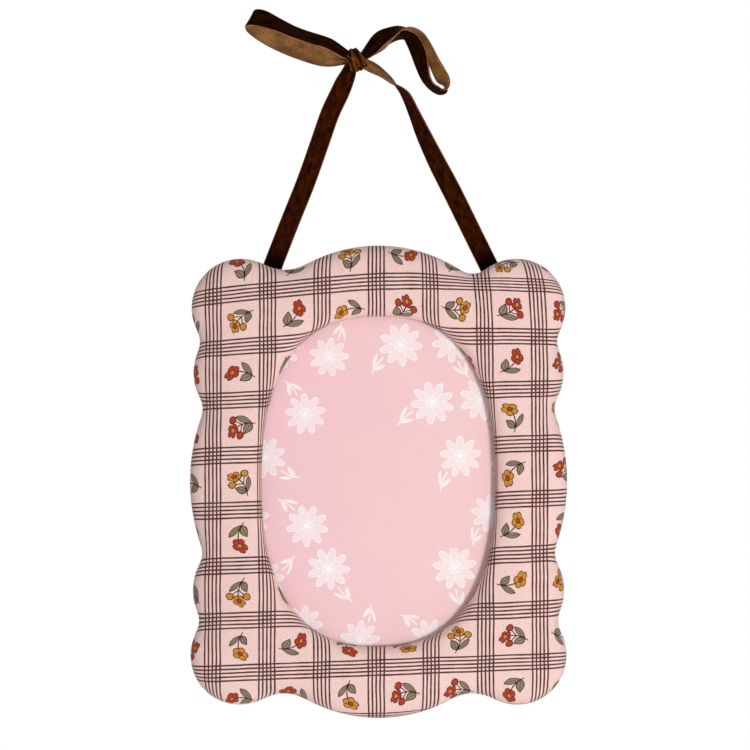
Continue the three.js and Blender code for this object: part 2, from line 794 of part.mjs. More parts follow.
addPiece('easel_leg', easelLeg(), finishes.board);
addPiece('hinge_fixed_leaf', hingeFixedLeaf(), finishes.steel);
addPiece('hinge_moving_leaf', hingeMovingLeaf(), finishes.steel);
addPiece('hinge_pin', hingePin(), finishes.steel);
rivetPlaces.forEach(({ name, x }) => {
  addPiece(`panel_rivet_${name}`,
    rivet(liningBack - panelThickness + clearance, leafBack + clearance, x, panelRivetLevel), finishes.steel);
  addPiece(`leg_rivet_${name}`, rivet(leafFront, legBack + clearance, x, legRivetLevel), finishes.steel);
});

// Turn buttons and screws

function turnButton({ x, z, side }) {
  const round = buttonWidth / 2;
  const tip = buttonTipWidth / 2;
  const reach = buttonReach - tip;
  const shape = new THREE.Shape();
  shape.moveTo(0, -round);
  shape.lineTo(reach, -tip);
  shape.absarc(reach, 0, tip, -Math.PI / 2, Math.PI / 2, false);
  shape.lineTo(0, round);
  shape.absarc(0, 0, round, Math.PI / 2, Math.PI * 1.5, false);
  const arm = plate(shape, buttonFront, buttonBack, buttonBevel);
  if (side > 0) arm.rotateY(Math.PI);
  arm.translate(x, 0, z);
  const radius = screwShankRadius + boreClearance;
  return cut(arm, pinAlongY(radius, buttonFront - overrun, buttonBack + overrun, x, z));
}

function turnScrew({ x, z }) {
  const tip = rearBoardBack - screwGrip;
  const seat = buttonBack + clearance;
  const top = seat + screwHeadHeight;
  const headShares = [[1, 0.35], [0.86, 0.72], [0.5, 0.95]];
  const profile = [
    new THREE.Vector2(0, tip), new THREE.Vector2(screwShankRadius, tip),
    new THREE.Vector2(screwShankRadius, seat), new THREE.Vector2(screwHeadRadius, seat),
    ...headShares.map(([out, up]) => new THREE.Vector2(screwHeadRadius * out, seat + screwHeadHeight * up)),
    new THREE.Vector2(0, top),
  ];
  const body = new THREE.LatheGeometry(profile, ROUND_SIDES);
  body.translate(x, 0, z);
  const slot = block(-screwHeadRadius - overrun, screwHeadRadius + overrun,
    top - screwSlotDepth, top + overrun, -screwSlotWidth / 2, screwSlotWidth / 2);
  const cross = slot.clone().rotateY(Math.PI / 2);
  slot.translate(x, 0, z);
  cross.translate(x, 0, z);
  return cut(body, slot, cross);
}

buttonPlaces.forEach((place) => {
  addPiece(`turn_button_${place.name}`, turnButton(place), finishes.steel);
  addPiece(`turn_screw_${place.name}`, turnScrew(place), finishes.steel);
});

// Bow: the knot and its two loops. Loop rows give places from the knot's middle as shares of the
// loop's reach, the depth as a share of the loop's depth, the direction across the ribbon as an
// angle up from +X and a tilt towards the front, both in degrees, and the share of the width.
const loopShares = {
  left: [
    [-0.1, 0.05, -0.35, 66, 4, 0.5], [-0.16, 0.08, -0.6, 68, 4, 0.7], [-0.25, 0.125, -0.85, 70, 3, 0.92],
    [-0.4, 0.19, -1, 71, 2, 1], [-0.57, 0.255, -1.1, 70, 0, 1], [-0.75, 0.325, -1.15, 68, -2, 1],
    [-0.89, 0.36, -0.95, 64, -3, 1], [-0.97, 0.366, -0.5, 61, -4, 1], [-0.985, 0.35, 0.1, 61, -4, 1],
    [-0.95, 0.315, 0.7, 62, -3, 1], [-0.85, 0.25, 1.05, 66, 0, 1], [-0.68, 0.165, 1.15, 68, 2, 1],
    [-0.47, 0.084, 1.1, 70, 3, 1], [-0.29, 0.015, 0.9, 72, 3, 0.94], [-0.176, -0.005, 0.6, 76, 3, 0.74],
    [-0.1, -0.014, 0.35, 80, 3, 0.5],
  ],
  right: [
    [0.12, 0.05, -0.35, -66, 6, 0.55], [0.2, 0.13, -0.5, -58, 12, 0.8], [0.3, 0.245, -0.6, -50, 24, 0.96],
    [0.42, 0.31, -0.65, -46, 42, 1], [0.54, 0.36, -0.7, -40, 64, 1], [0.665, 0.352, -0.7, -10, 78, 1],
    [0.775, 0.28, -0.65, 28, 72, 1], [0.86, 0.15, -0.55, 38, 64, 1], [0.94, -0.01, -0.45, 40, 60, 1],
    [1.02, -0.165, -0.3, 42, 58, 1], [1.07, -0.29, -0.1, 48, 62, 1], [1.06, -0.375, 0.15, 66, 70, 1],
    [1.0, -0.395, 0.35, 80, 72, 1], [0.925, -0.34, 0.45, 52, 70, 1], [0.845, -0.225, 0.45, 14, 62, 1],
    [0.785, -0.07, 0.4, 0, 46, 1], [0.735, 0.09, 0.35, 0, 26, 1], [0.655, 0.215, 0.45, 12, 28, 1],
    [0.565, 0.262, 0.75, 28, 52, 1], [0.46, 0.205, 1.05, 42, 68, 1], [0.33, 0.12, 1.15, 46, 66, 0.86],
    [0.22, 0.07, 1.05, 50, 40, 0.66], [0.12, 0.04, 0.85, 54, 12, 0.46],
  ],
};
const loopReaches = { left: leftLoopReach, right: rightLoopReach };
const loopDepths = { left: leftLoopDepth, right: rightLoopDepth };

function loopDirection(angle, tilt) {
  const flat = Math.cos(radians(tilt));
  const turn = radians(angle);
  return new THREE.Vector3(flat * Math.cos(turn), -Math.sin(radians(tilt)), flat * Math.sin(turn));
}

function bowLoop(name, steps) {
  const rows = loopShares[name];
  const reach = loopReaches[name];
  const depth = loopDepths[name];
  const points = rows.map(([across, up, back]) => knotCentre.clone().add(
    new THREE.Vector3(across * reach, back * depth, up * reach)));
  const sides = rows.map((row) => loopDirection(row[3], row[4]));
  const sideAt = (place) => {
    const scaled = place * (rows.length - 1);
    const low = Math.min(Math.floor(scaled), rows.length - 2);
    return sides[low].clone().lerp(sides[low + 1], scaled - low).normalize();
  };
  return bandAlong(points, steps, sideAt, (place) => interpolated(rows, 5, place));
}

// Inside this share of the knot's length its room is never narrower than the wraps
const wrapSpanShare = 0.33;
const wrapOutShare = 0.97;

// The room round the knot runs straight over the grooves between its wraps
function bridgedOut(row) {
  const [along, out] = knotProfileShares[row];
  const before = knotProfileShares[row - 1];
  const after = knotProfileShares[row + 1];
  if (!before || !after) return out;
  const floor = Math.abs(along) < wrapSpanShare ? wrapOutShare : 0;
  return Math.max(out, Math.min(before[1], after[1]), floor);
}

// The knot, or with a growth the room round it
function knotBody(growth) {
  const half = knotLength / 2 + growth;
  const profile = [new THREE.Vector2(0, -half)];
  const lastRow = knotProfileShares.length - 1;
  knotProfileShares.forEach(([along, out], row) => {
    const share = growth > 0 ? bridgedOut(row) : out;
    const end = row === 0 || row === lastRow ? Math.sign(along) * growth : 0;
    profile.push(new THREE.Vector2(knotRadius * share + growth, knotLength * along + end));
  });
  profile.push(new THREE.Vector2(0, half));
  const geometry = new THREE.LatheGeometry(profile, KNOT_SIDES);
  geometry.rotateZ(-Math.PI / 2);
  geometry.scale(1, knotDepthShare, 1);
  geometry.rotateY(-radians(KNOT_TILT));
  geometry.translate(knotCentre.x, knotCentre.y, knotCentre.z);
  return geometry;
}

const aroundKnot = () => knotBody(clearance);
const leftStrand = cut(strand('left', LEFT_STRAND_STEPS), aroundKnot());
const rightStrand = cut(strand('right', RIGHT_STRAND_STEPS), aroundKnot());
const leftLoop = cut(bowLoop('left', LEFT_LOOP_STEPS), aroundKnot());
const rightLoop = cut(bowLoop('right', RIGHT_LOOP_STEPS), aroundKnot());
addPiece('ribbon_strand_left', leftStrand, finishes.velvet);
addPiece('ribbon_strand_right', rightStrand, finishes.velvet);
addPiece('bow_loop_left', leftLoop, finishes.velvet);
addPiece('bow_loop_right', rightLoop, finishes.velvet);
addPiece('bow_knot', toGeometry(toSolid(knotBody(0))), finishes.velvet);

// The hook point becomes the origin
frame.position.set(-knotAcross - hookRight, -ribbonLevel, -knotHeight + hookBelowKnot);

export default group;
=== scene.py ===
"""Fabric photo frame: a padded, scalloped front in printed cotton round an oval window.

It hangs by a velvet ribbon tied in a bow, and an easel leg on its back lets it stand instead.
Lengths are in metres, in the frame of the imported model: the front faces -Y and +Z is up.
"""

import logging
import math
from dataclasses import dataclass, field
from enum import Enum
from typing import Any, Callable, Dict, Iterable, List, Optional, Sequence, Tuple, Union

import bpy
import numpy as np
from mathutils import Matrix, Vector


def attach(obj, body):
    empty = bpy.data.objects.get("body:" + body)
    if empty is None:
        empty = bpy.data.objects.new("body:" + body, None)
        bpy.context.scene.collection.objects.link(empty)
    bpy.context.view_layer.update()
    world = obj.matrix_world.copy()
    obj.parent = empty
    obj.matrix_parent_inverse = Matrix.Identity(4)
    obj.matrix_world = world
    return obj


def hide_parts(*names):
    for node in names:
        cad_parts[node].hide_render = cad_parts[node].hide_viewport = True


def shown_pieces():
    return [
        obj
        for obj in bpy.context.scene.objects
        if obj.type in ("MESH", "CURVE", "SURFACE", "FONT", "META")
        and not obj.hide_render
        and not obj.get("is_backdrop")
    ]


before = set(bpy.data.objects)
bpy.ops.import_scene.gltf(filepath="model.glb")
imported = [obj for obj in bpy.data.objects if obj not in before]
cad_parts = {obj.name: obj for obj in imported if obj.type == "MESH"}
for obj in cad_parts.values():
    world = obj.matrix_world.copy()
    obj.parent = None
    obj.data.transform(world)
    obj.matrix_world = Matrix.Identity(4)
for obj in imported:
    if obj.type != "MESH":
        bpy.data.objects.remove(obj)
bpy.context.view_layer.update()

LOG = logging.getLogger("photo_frame")
MM = 0.001
FULL_TURN = 2 * math.pi
# The middle of the front board's face, seen from the point where the ribbon is hung
MIDDLE = np.array((11.1 * MM, -6.25 * MM, -220.5 * MM))
# The body that every soft piece rides on
BODY = "frame"

Row = Tuple[float, ...]
Triple = Tuple[float, float, float]
Colour = Triple
Number = Union["Shade", float, int]
Luck = Tuple["Shade", "Shade", "Shade"]
Material = bpy.types.Material
Piece = bpy.types.Object
Socket = bpy.types.NodeSocket


def srgb(text: str) -> Colour:
    """Linear colour of a six digit sRGB hex text."""
    parts = [int(text[place:place + 2], 16) / 255 for place in (0, 2, 4)]
    return tuple(c / 12.92 if c <= 0.04045 else ((c + 0.055) / 1.055) ** 2.4 for c in parts)


def darker(colour: Colour, share: float) -> Colour:
    """A colour at that share of its light."""
    return tuple(part * share for part in colour)


class Slot(Enum):
    """The material slots of the soft pieces."""

    COTTON = "cotton"
    WADDING = "wadding"
    LINING = "lining"
    VELVET = "velvet"


class Side(Enum):
    """The two sides of the bow, as seen from the front."""

    LEFT = "left"
    RIGHT = "right"


# Shader expressions


def operation(name: str, swapped: bool = False) -> Callable[..., "Shade"]:
    """Makes a method that adds a Math node on its own socket and on values.

    Args:
        name: the node's operation.
        swapped: whether the values come before the socket.

    Returns:
        The method.
    """

    def method(self: "Shade", *values: Number) -> "Shade":
        """Adds the Math node."""
        return self.nodes.math(name, *((*values, self) if swapped else (self, *values)))

    return method


class Shade:
    """A number socket that adds Math nodes as it is used in an expression.

    A comparison gives one where it holds. Of two values, & takes the lesser and | the greater.
    """

    def __init__(self, nodes: "Nodes", socket: Socket) -> None:
        """Wraps a socket of a node tree."""
        self.nodes = nodes
        self.socket = socket

    __add__ = __radd__ = operation("ADD")
    __sub__ = operation("SUBTRACT")
    __rsub__ = operation("SUBTRACT", swapped=True)
    __mul__ = __rmul__ = operation("MULTIPLY")
    __truediv__ = operation("DIVIDE")
    __pow__ = operation("POWER")
    __gt__ = operation("GREATER_THAN")
    __lt__ = operation("LESS_THAN")
    __and__ = operation("MINIMUM")
    __or__ = operation("MAXIMUM")
    __abs__ = operation("ABSOLUTE")
    floor = operation("FLOOR")
    nearest = operation("ROUND")
    root = operation("SQRT")
    sine = operation("SINE")
    cosine = operation("COSINE")
    angle_over = operation("ARCTAN2")
    modulo = operation("FLOORED_MODULO")

    def squared(self) -> "Shade":
        """The value times itself."""
        return self * self

    def clamped(self, factor: float, offset: float) -> "Shade":
        """The value times a factor plus an offset, held between 0 and 1."""
        return self.nodes.math("MULTIPLY_ADD", self, factor, offset, clamp=True)

    def inside(self, soft: float) -> "Shade":
        """One where a distance is below zero, with an edge of that softness."""
        return self.clamped(-1.0 / soft, 0.5)


def turned(x: Shade, y: Shade, cosine: Number, sine: Number) -> Tuple[Shade, Shade]:
    """A place along and aside of a line, whose angle is given by its cosine and sine."""
    return x * cosine + y * sine, y * cosine - x * sine


def span(x: Shade, y: Shade) -> Shade:
    """How far a place is from the origin."""
    return (x.squared() + y.squared()).root()


def cells(value: Shade, pitch: float, shift: Number = 0.0) -> Tuple[Shade, Shade]:
    """Cuts a place on a repeat into its cells.

    Args:
        value: the place.
        pitch: the length of a cell.
        shift: how far the cells are moved back, as a share of the pitch.

    Returns:
        The cell's number, and the distance from its middle.
    """
    scaled = value / pitch + shift
    number = scaled.floor()
    return number, (scaled - number - 0.5) * pitch


@dataclass(frozen=True)
class Grain:
    """Smooth noise: its scale, or one for each axis, its finer layers and their strength."""

    scale: Union[float, Triple]
    detail: float = 2.0
    rough: float = 0.5


@dataclass(frozen=True)
class Blend:
    """A base value and the shares of two patterns that are added to it."""

    base: float
    first: float
    second: float

    def of(self, first: Shade, second: Shade) -> Shade:
        """The base with both patterns added."""
        return first * self.first + second * self.second + self.base


class Nodes:
    """A node tree and what is added to it."""

    def __init__(self, owner: Union[Material, bpy.types.World]) -> None:
        """Starts with an empty node tree.

        Args:
            owner: the material or the world that has the tree.
        """
        owner.use_nodes = True
        self.tree = owner.node_tree
        self.tree.nodes.clear()

    @staticmethod
    def socket_of(sockets: Any, key: Union[str, int]) -> Socket:
        """Finds a socket of a node.

        Args:
            sockets: the node's input or output sockets.
            key: the socket's index, identifier or name.

        Returns:
            The socket.
        """
        if isinstance(key, int):
            return sockets[key]
        return next((socket for socket in sockets if socket.identifier == key), None) or sockets[key]

    def node(self, kind: str, sockets: Dict[Union[str, int], Any], **settings: Any) -> bpy.types.Node:
        """Adds a node.

        Args:
            kind: the node's type.
            sockets: values or links of its input sockets.
            **settings: its attributes, which are set first.

        Returns:
            The new node.
        """
        made = self.tree.nodes.new(kind)
        for key, value in settings.items():
            setattr(made, key, value)
        for key, value in sockets.items():
            target = self.socket_of(made.inputs, key)
            if isinstance(value, Shade):
                value = value.socket
            if isinstance(value, Socket):
                self.tree.links.new(value, target)
            elif isinstance(value, tuple) and len(value) == 3 and target.type == "RGBA":
                target.default_value = (*value, 1)
            else:
                target.default_value = value
        return made

    def math(self, operation: str, *values: Number, clamp: bool = False) -> Shade:
        """A Math node on numbers and sockets."""
        made = self.node("ShaderNodeMath", dict(enumerate(values)), operation=operation, use_clamp=clamp)
        return Shade(self, made.outputs[0])

    def vector(self, operation: str, place: Any, key: Union[str, int], value: Any) -> Socket:
        """A Vector Math node on a vector and the value of one more socket."""
        return self.node("ShaderNodeVectorMath", {0: place, key: value}, operation=operation).outputs[0]

    def mix(self, share: Number, first: Any, second: Any) -> Socket:
        """A colour between two colours."""
        sockets = {"Factor_Float": share, "A_Color": first, "B_Color": second}
        return self.socket_of(self.node("ShaderNodeMix", sockets, data_type="RGBA").outputs, "Result_Color")

    def shade_by(self, colour: Any, amount: Shade) -> Socket:
        """A colour made lighter or darker by a factor near one."""
        return self.vector("SCALE", colour, "Scale", amount)

    def place(self, uv: Optional[str] = None) -> Socket:
        """The place on the surface.

        Args:
            uv: the name of a UV map. Without one it is in Object coordinates.

        Returns:
            The place.
        """
        if uv:
            return self.node("ShaderNodeUVMap", {}, uv_map=uv).outputs["UV"]
        return self.node("ShaderNodeTexCoord", {}).outputs["Object"]

    def split(self, place: Socket, unit: float = MM) -> Luck:
        """The three parts of a place, in that unit."""
        scaled = self.vector("SCALE", place, "Scale", 1 / unit)
        return tuple(Shade(self, part) for part in self.node("ShaderNodeSeparateXYZ", {0: scaled}).outputs)

    def joined(self, x: Number, y: Number, z: Number = 0.0) -> Socket:
        """A vector of three parts."""
        return self.node("ShaderNodeCombineXYZ", {0: x, 1: y, 2: z}).outputs[0]

    def noise(self, place: Socket, grain: Grain) -> Shade:
        """Smooth noise.

        Args:
            place: where it is looked up.
            grain: its scale and its layers.

        Returns:
            The noise, from 0 to 1.
        """
        scale = grain.scale
        if isinstance(scale, tuple):
            place, scale = self.vector("MULTIPLY", place, 1, scale), 1.0
        sockets = {"Vector": place, "Scale": scale, "Detail": grain.detail, "Roughness": grain.rough}
        return Shade(self, self.node("ShaderNodeTexNoise", sockets).outputs[0])

    def chance(self, x: Number, y: Number, seed: float) -> Luck:
        """Draws the random numbers of a cell.

        Args:
            x: the cell's column.
            y: the cell's row.
            seed: a number that every print has of its own.

        Returns:
            Three numbers from 0 to 1.
        """
        cell = {"Vector": self.joined(x, y, seed)}
        colour = self.node("ShaderNodeTexWhiteNoise", cell, noise_dimensions="3D").outputs["Color"]
        parts = self.node("ShaderNodeSeparateColor", {0: colour}).outputs
        return tuple(Shade(self, part) for part in parts)

    def bump(self, height: Shade, distance: float) -> Socket:
        """A normal raised by a height from 0 to 1, over that distance."""
        sockets = {"Height": height, "Distance": distance, "Strength": 1.0}
        return self.node("ShaderNodeBump", sockets).outputs[0]

    def seen_directly(self) -> Shade:
        """Tells what is seen from what only lights the frame.

        Returns:
            One for what the camera, a mirror or a clear pane shows, and zero for the rest.
        """
        path = self.node("ShaderNodeLightPath", {}).outputs
        camera, glossy = Shade(self, path["Is Camera Ray"]), Shade(self, path["Is Glossy Ray"])
        return camera | glossy | Shade(self, path["Is Transmission Ray"])


class Swatch(Nodes):
    """A material and the nodes that it is made of."""

    def __init__(self, name: str) -> None:
        """Starts a material with an empty node tree."""
        self.material = bpy.data.materials.new(name)
        super().__init__(self.material)

    def finish(self, **sockets: Any) -> Material:
        """Closes the material with one Principled shader.

        Args:
            **sockets: the shader's sockets, with underscores for spaces.

        Returns:
            The material.
        """
        named = {key.replace("_", " "): value for key, value in sockets.items()}
        shader = self.node("ShaderNodeBsdfPrincipled", named)
        self.node("ShaderNodeOutputMaterial", {"Surface": shader.outputs[0]})
        return self.material


# Finishes


@dataclass(frozen=True)
class Weave:
    """A plain weave: raised threads both ways, with slubs. The pitch is in millimetres."""

    pitch: float = 0.42
    depth: float = 0.05 * MM
    slubs: Grain = Grain((900.0, 260.0, 900.0))
    relief: Blend = Blend(0.2, 0.3, 0.5)

    def height(self, swatch: Swatch, place: Socket) -> Shade:
        """Height of the threads.

        Args:
            swatch: the material that is made.
            place: a place in metres on the flat cloth.

        Returns:
            The height, from 0 to 1.
        """
        across, along, _ = swatch.split(place)
        step = FULL_TURN / self.pitch
        threads = (across * step).sine() * (along * step).sine()
        return self.relief.of(threads, swatch.noise(place, self.slubs))


@dataclass(frozen=True)
class Sprig:
    """A blossom on a bent stem with two leaves and, on some, two buds.

    It is drawn in its own millimetres, along the stem and aside of it.
    """

    leaf: Colour = srgb("94866c")
    red: Colour = srgb("b03a26")
    mustard: Colour = srgb("c78a2a")
    ink: Colour = srgb("33140c")
    scale: float = 0.8
    soft: float = 0.14
    rim_half: float = 0.2
    bend: float = 0.055
    sag: float = 0.7
    stem_middle: float = -2.0
    stem_length_half: float = 4.6
    stem_half: float = 0.26
    leaf_foot: float = -5.4
    leaf_angle: float = 38.0
    leaf_middle: float = 3.3
    leaf_half: float = 2.7
    leaf_half_more: float = 0.6
    leaf_belly: float = 1.15
    leaf_belly_more: float = 0.35
    vein_half: float = 0.1
    vein_soft: float = 0.12
    rib_pitch: float = 0.8
    rib_half: float = 0.12
    rib_soft: float = 0.16
    rib_slant: float = 0.9
    rib_ink: float = 0.6
    stalk_foot: float = -1.4
    stalk_angle: float = 50.0
    stalk_middle: float = 1.9
    stalk_half: float = 0.22
    bud_along: float = 1.5
    bud_aside: float = 3.6
    bud_radius: float = 1.45
    head_along: float = 3.4
    head_radius: float = 2.15
    head_shrink: float = 0.55
    petals: int = 5
    petal_length: float = 0.95
    petal_power: float = 0.6
    crease: float = 0.16
    crease_soft: float = 0.1
    button_radius: float = 0.95
    button_rim_half: float = 0.16
    budded_above: float = 0.55
    red_above: float = 0.42

    def _drawn(self, gap: Shade) -> Shade:
        """Cover of what lies within a distance."""
        return gap.inside(self.soft)

    def _rim(self, gap: Shade) -> Shade:
        """Cover of an outline drawn along a distance of zero."""
        return self._drawn(abs(gap) - self.rim_half)

    @staticmethod
    def _branch(along: Shade, both: Shade, foot: float, angle: float) -> Tuple[Shade, Shade]:
        """A place along and aside of a branch that leaves the stem on both sides at an angle in degrees."""
        lean = math.radians(angle)
        return turned(along - foot, both, math.cos(lean), math.sin(lean))

    def _leaves(self, along: Shade, both: Shade, size: Shade) -> Tuple[Shade, Shade]:
        """The two leaves at the foot, mirrored about the stem.

        Args:
            along: the place along the stem.
            both: the distance from the stem.
            size: the pane's random number for its size.

        Returns:
            The distance from the leaves' edge, and the cover of their veins.
        """
        x, y = self._branch(along, both, self.leaf_foot, self.leaf_angle)
        y = abs(y)
        half = size * self.leaf_half_more + self.leaf_half
        belly = 1.0 - ((x - self.leaf_middle) / half).squared()
        gap = y - belly * (size * self.leaf_belly_more + self.leaf_belly)
        rib = (x - y * self.rib_slant) / self.rib_pitch
        ribs = (abs(rib - rib.nearest()) - self.rib_half).inside(self.rib_soft)
        vein = (y - self.vein_half).inside(self.vein_soft)
        return gap, (vein | ribs * self.rib_ink) & (gap < 0.0)

    def _stalks(self, along: Shade, both: Shade) -> Shade:
        """Cover of the two stalks of the buds."""
        x, y = self._branch(along, both, self.stalk_foot, self.stalk_angle)
        return self._drawn(abs(y) - self.stalk_half) & (abs(x - self.stalk_middle) < self.stalk_middle)

    def draw(self, swatch: Swatch, x: Shade, y: Shade, luck: Luck, ground: Socket) -> Socket:
        """Draws the sprig of a pane.

        Args:
            swatch: the material that is made.
            x: across the pane from its middle.
            y: up the pane from its middle.
            luck: the pane's three random numbers.
            ground: the colour under the sprig.

        Returns:
            The colour with the sprig on it.
        """
        turn, kind, size = luck
        angle = turn * FULL_TURN
        along, aside = turned(x, y, angle.cosine() * self.scale, angle.sine() * self.scale)
        bent = aside - along.squared() * self.bend + self.sag
        both = abs(bent)
        budded = kind > self.budded_above
        leaf_gap, veins = self._leaves(along, both, size)
        stem = self._drawn(both - self.stem_half) & (abs(along - self.stem_middle) < self.stem_length_half)
        stalks = self._stalks(along, both) * budded
        # A radius below zero leaves the buds out
        bud_radius = (budded * 2.0 - 1.0) * self.bud_radius
        bud_gap = span(along - self.bud_along, both - self.bud_aside) - bud_radius
        head_x = along - self.head_along
        reach = span(head_x, bent)
        petals = abs((bent.angle_over(head_x) * (self.petals / 2)).cosine())
        head_radius = self.head_radius - budded * self.head_shrink
        head_gap = reach - (head_radius + (petals ** self.petal_power) * self.petal_length)
        button_gap = reach - self.button_radius
        creases = (petals - self.crease).inside(self.crease_soft) & (head_gap < 0.0) & (button_gap > 0.0)
        reds = size > self.red_above
        petal_colour = swatch.mix(reds, self.mustard, self.red)
        button_colour = swatch.mix(reds, self.red, self.mustard)
        colour = swatch.mix(self._drawn(leaf_gap), ground, self.leaf)
        colour = swatch.mix(self._rim(leaf_gap) | veins | stem | stalks, colour, self.ink)
        colour = swatch.mix(self._drawn(bud_gap) | self._drawn(head_gap), colour, petal_colour)
        colour = swatch.mix(self._drawn(button_gap), colour, button_colour)
        button_rim = self._drawn(abs(button_gap) - self.button_rim_half)
        return swatch.mix(self._rim(head_gap) | self._rim(bud_gap) | button_rim | creases, colour, self.ink)


@dataclass(frozen=True)
class PrintedCotton:
    """Dusty pink cotton printed with a brown windowpane check and a small sprig in each pane.

    Sizes of the print are in millimetres on the flat cloth.
    """

    ground: Colour = srgb("f1cdc6")
    line: Colour = srgb("43180f")
    sprig: Sprig = Sprig()
    weave: Weave = Weave()
    pitch_across: float = 29.15
    pitch_up: float = 29.5
    band_across: float = -1.2
    band_up: float = -12.9
    band_half: float = 5.2
    line_gap: float = 2.08
    line_half: float = 0.35
    line_swell: float = 0.22
    line_soft: float = 0.22
    wander: float = 0.7
    drift: Grain = Grain(60.0, 1.0)
    sway: Grain = Grain(1.0, 1.0)
    sway_scale: float = 0.05
    unevenness: Grain = Grain(140.0, 1.0)
    blotches: Grain = Grain(900.0, 1.0)
    ink_least: float = 0.86
    ink_more: float = 0.2
    clouds: Grain = Grain(25.0, 3.0)
    cloud_share: float = 0.5
    clouded: float = 0.93
    threads: Grain = Grain(1300.0, 3.0, 0.75)
    tone: Blend = Blend(0.49, 0.17, 0.85)
    seed: float = 7.0
    uv: str = "print"

    def _lines(self, place: Shade, width: Shade) -> Shade:
        """The lines of one band.

        Args:
            place: the distance from the band's middle.
            width: half the width of a line.

        Returns:
            Their cover.
        """
        steps = place / self.line_gap
        near = abs(steps - steps.nearest()) * self.line_gap
        return (near - width).inside(self.line_soft) & (abs(place) < self.band_half)

    def material(self) -> Material:
        """Makes the cloth, which follows its print map.

        Returns:
            The material.
        """
        swatch = Swatch("printed_cotton")
        place = swatch.place(self.uv)
        across, up, _ = swatch.split(place)
        drift = swatch.noise(place, self.drift) - 0.5
        swapped = swatch.joined(up * self.sway_scale, across * self.sway_scale, 3.0)
        sway = swatch.noise(swapped, self.sway) - 0.5
        column, pane_x = cells(across - self.band_across + drift * self.wander, self.pitch_across)
        row, pane_y = cells(up - self.band_up + sway * self.wander, self.pitch_up)
        width = swatch.noise(place, self.unevenness) * self.line_swell + self.line_half
        columns = self._lines(self.pitch_across / 2 - abs(pane_x), width)
        rows = self._lines(self.pitch_up / 2 - abs(pane_y), width)
        clouds = swatch.noise(place, self.clouds) * self.cloud_share
        ground = swatch.mix(clouds, self.ground, darker(self.ground, self.clouded))
        colour = self.sprig.draw(swatch, pane_x, pane_y, swatch.chance(column, row, self.seed), ground)
        ink = (columns | rows) * (self.ink_least + swatch.noise(place, self.blotches) * self.ink_more)
        colour = swatch.mix(ink, colour, self.line)
        height = self.weave.height(swatch, place)
        threads = swatch.noise(place, self.threads)
        colour = swatch.shade_by(colour, self.tone.of(height, threads))
        normal = swatch.bump(height, self.weave.depth)
        return swatch.finish(
            Base_Color=colour, Roughness=0.9, Normal=normal, Sheen_Weight=0.12, Specular_IOR_Level=0.25
        )


@dataclass(frozen=True)
class PlainCloth:
    """Plain woven lining cloth."""

    colour: Colour = srgb("d3b3a6")
    weave: Weave = Weave(0.6, 0.08 * MM)
    warp: Grain = Grain((130.0, 1500.0, 1.0), 3.0)
    weft: Grain = Grain((1500.0, 130.0, 1.0), 3.0)
    tone: Blend = Blend(0.6, 0.2, 0.3)
    clouds: Grain = Grain(30.0, 4.0)
    clouded: float = 0.86

    def material(self) -> Material:
        """Makes the cloth, on Object coordinates.

        Returns:
            The material.
        """
        swatch = Swatch("lining_cloth")
        x, y, z = swatch.split(swatch.place(), 1.0)
        flat = swatch.joined(x + y, z)
        height = self.weave.height(swatch, flat)
        threads = swatch.noise(flat, self.warp) + swatch.noise(flat, self.weft)
        clouds = swatch.noise(flat, self.clouds)
        colour = swatch.mix(clouds, self.colour, darker(self.colour, self.clouded))
        colour = swatch.shade_by(colour, self.tone.of(height, threads))
        normal = swatch.bump(height, self.weave.depth)
        return swatch.finish(
            Base_Color=colour, Roughness=0.92, Normal=normal, Sheen_Weight=0.15, Specular_IOR_Level=0.2
        )


@dataclass(frozen=True)
class Wadding:
    """Soft white wadding with loose fibres."""

    colour: Colour = srgb("f1eee6")
    tufts: Grain = Grain(240.0, 6.0, 0.7)
    clouded: float = 0.85
    loft: float = 0.8 * MM

    def material(self) -> Material:
        """Makes the wadding, on Object coordinates.

        Returns:
            The material.
        """
        swatch = Swatch("wadding")
        tufts = swatch.noise(swatch.place(), self.tufts)
        colour = swatch.mix(tufts, self.colour, darker(self.colour, self.clouded))
        normal = swatch.bump(tufts, self.loft)
        return swatch.finish(Base_Color=colour, Roughness=0.97, Normal=normal, Sheen_Weight=0.3)


@dataclass(frozen=True)
class Fibreboard:
    """Pressed fibreboard with fibres both ways, darker flecks and uneven tone."""

    name: str = "fibreboard"
    colour: Colour = srgb("a98358")
    fleck: Colour = srgb("6d4d30")
    fibres: Grain = Grain((1500.0, 1500.0, 260.0), 4.0, 0.65)
    crossed: Grain = Grain((330.0, 1600.0, 1300.0), 4.0, 0.65)
    tone: Blend = Blend(0.65, 0.35, 0.35)
    clouds: Grain = Grain(34.0, 4.0, 0.6)
    cloud_share: float = 0.8
    clouded: float = 0.72
    fleck_below: float = 0.41
    fleck_edge: float = 9.0
    fleck_share: float = 0.7
    relief: float = 0.06 * MM

    def material(self) -> Material:
        """Makes the board, on Object coordinates.

        Returns:
            The material.
        """
        swatch = Swatch(self.name)
        place = swatch.place()
        fibres = swatch.noise(place, self.fibres)
        crossed = swatch.noise(place, self.crossed)
        clouds = swatch.noise(place, self.clouds) * self.cloud_share
        flecks = (fibres & crossed).clamped(-self.fleck_edge, self.fleck_below * self.fleck_edge)
        colour = swatch.mix(clouds, self.colour, darker(self.colour, self.clouded))
        colour = swatch.shade_by(colour, self.tone.of(fibres, crossed))
        colour = swatch.mix(flecks * self.fleck_share, colour, self.fleck)
        normal = swatch.bump(fibres + crossed, self.relief)
        return swatch.finish(
            Base_Color=colour, Roughness=0.72 + fibres * 0.16, Normal=normal, Specular_IOR_Level=0.3
        )


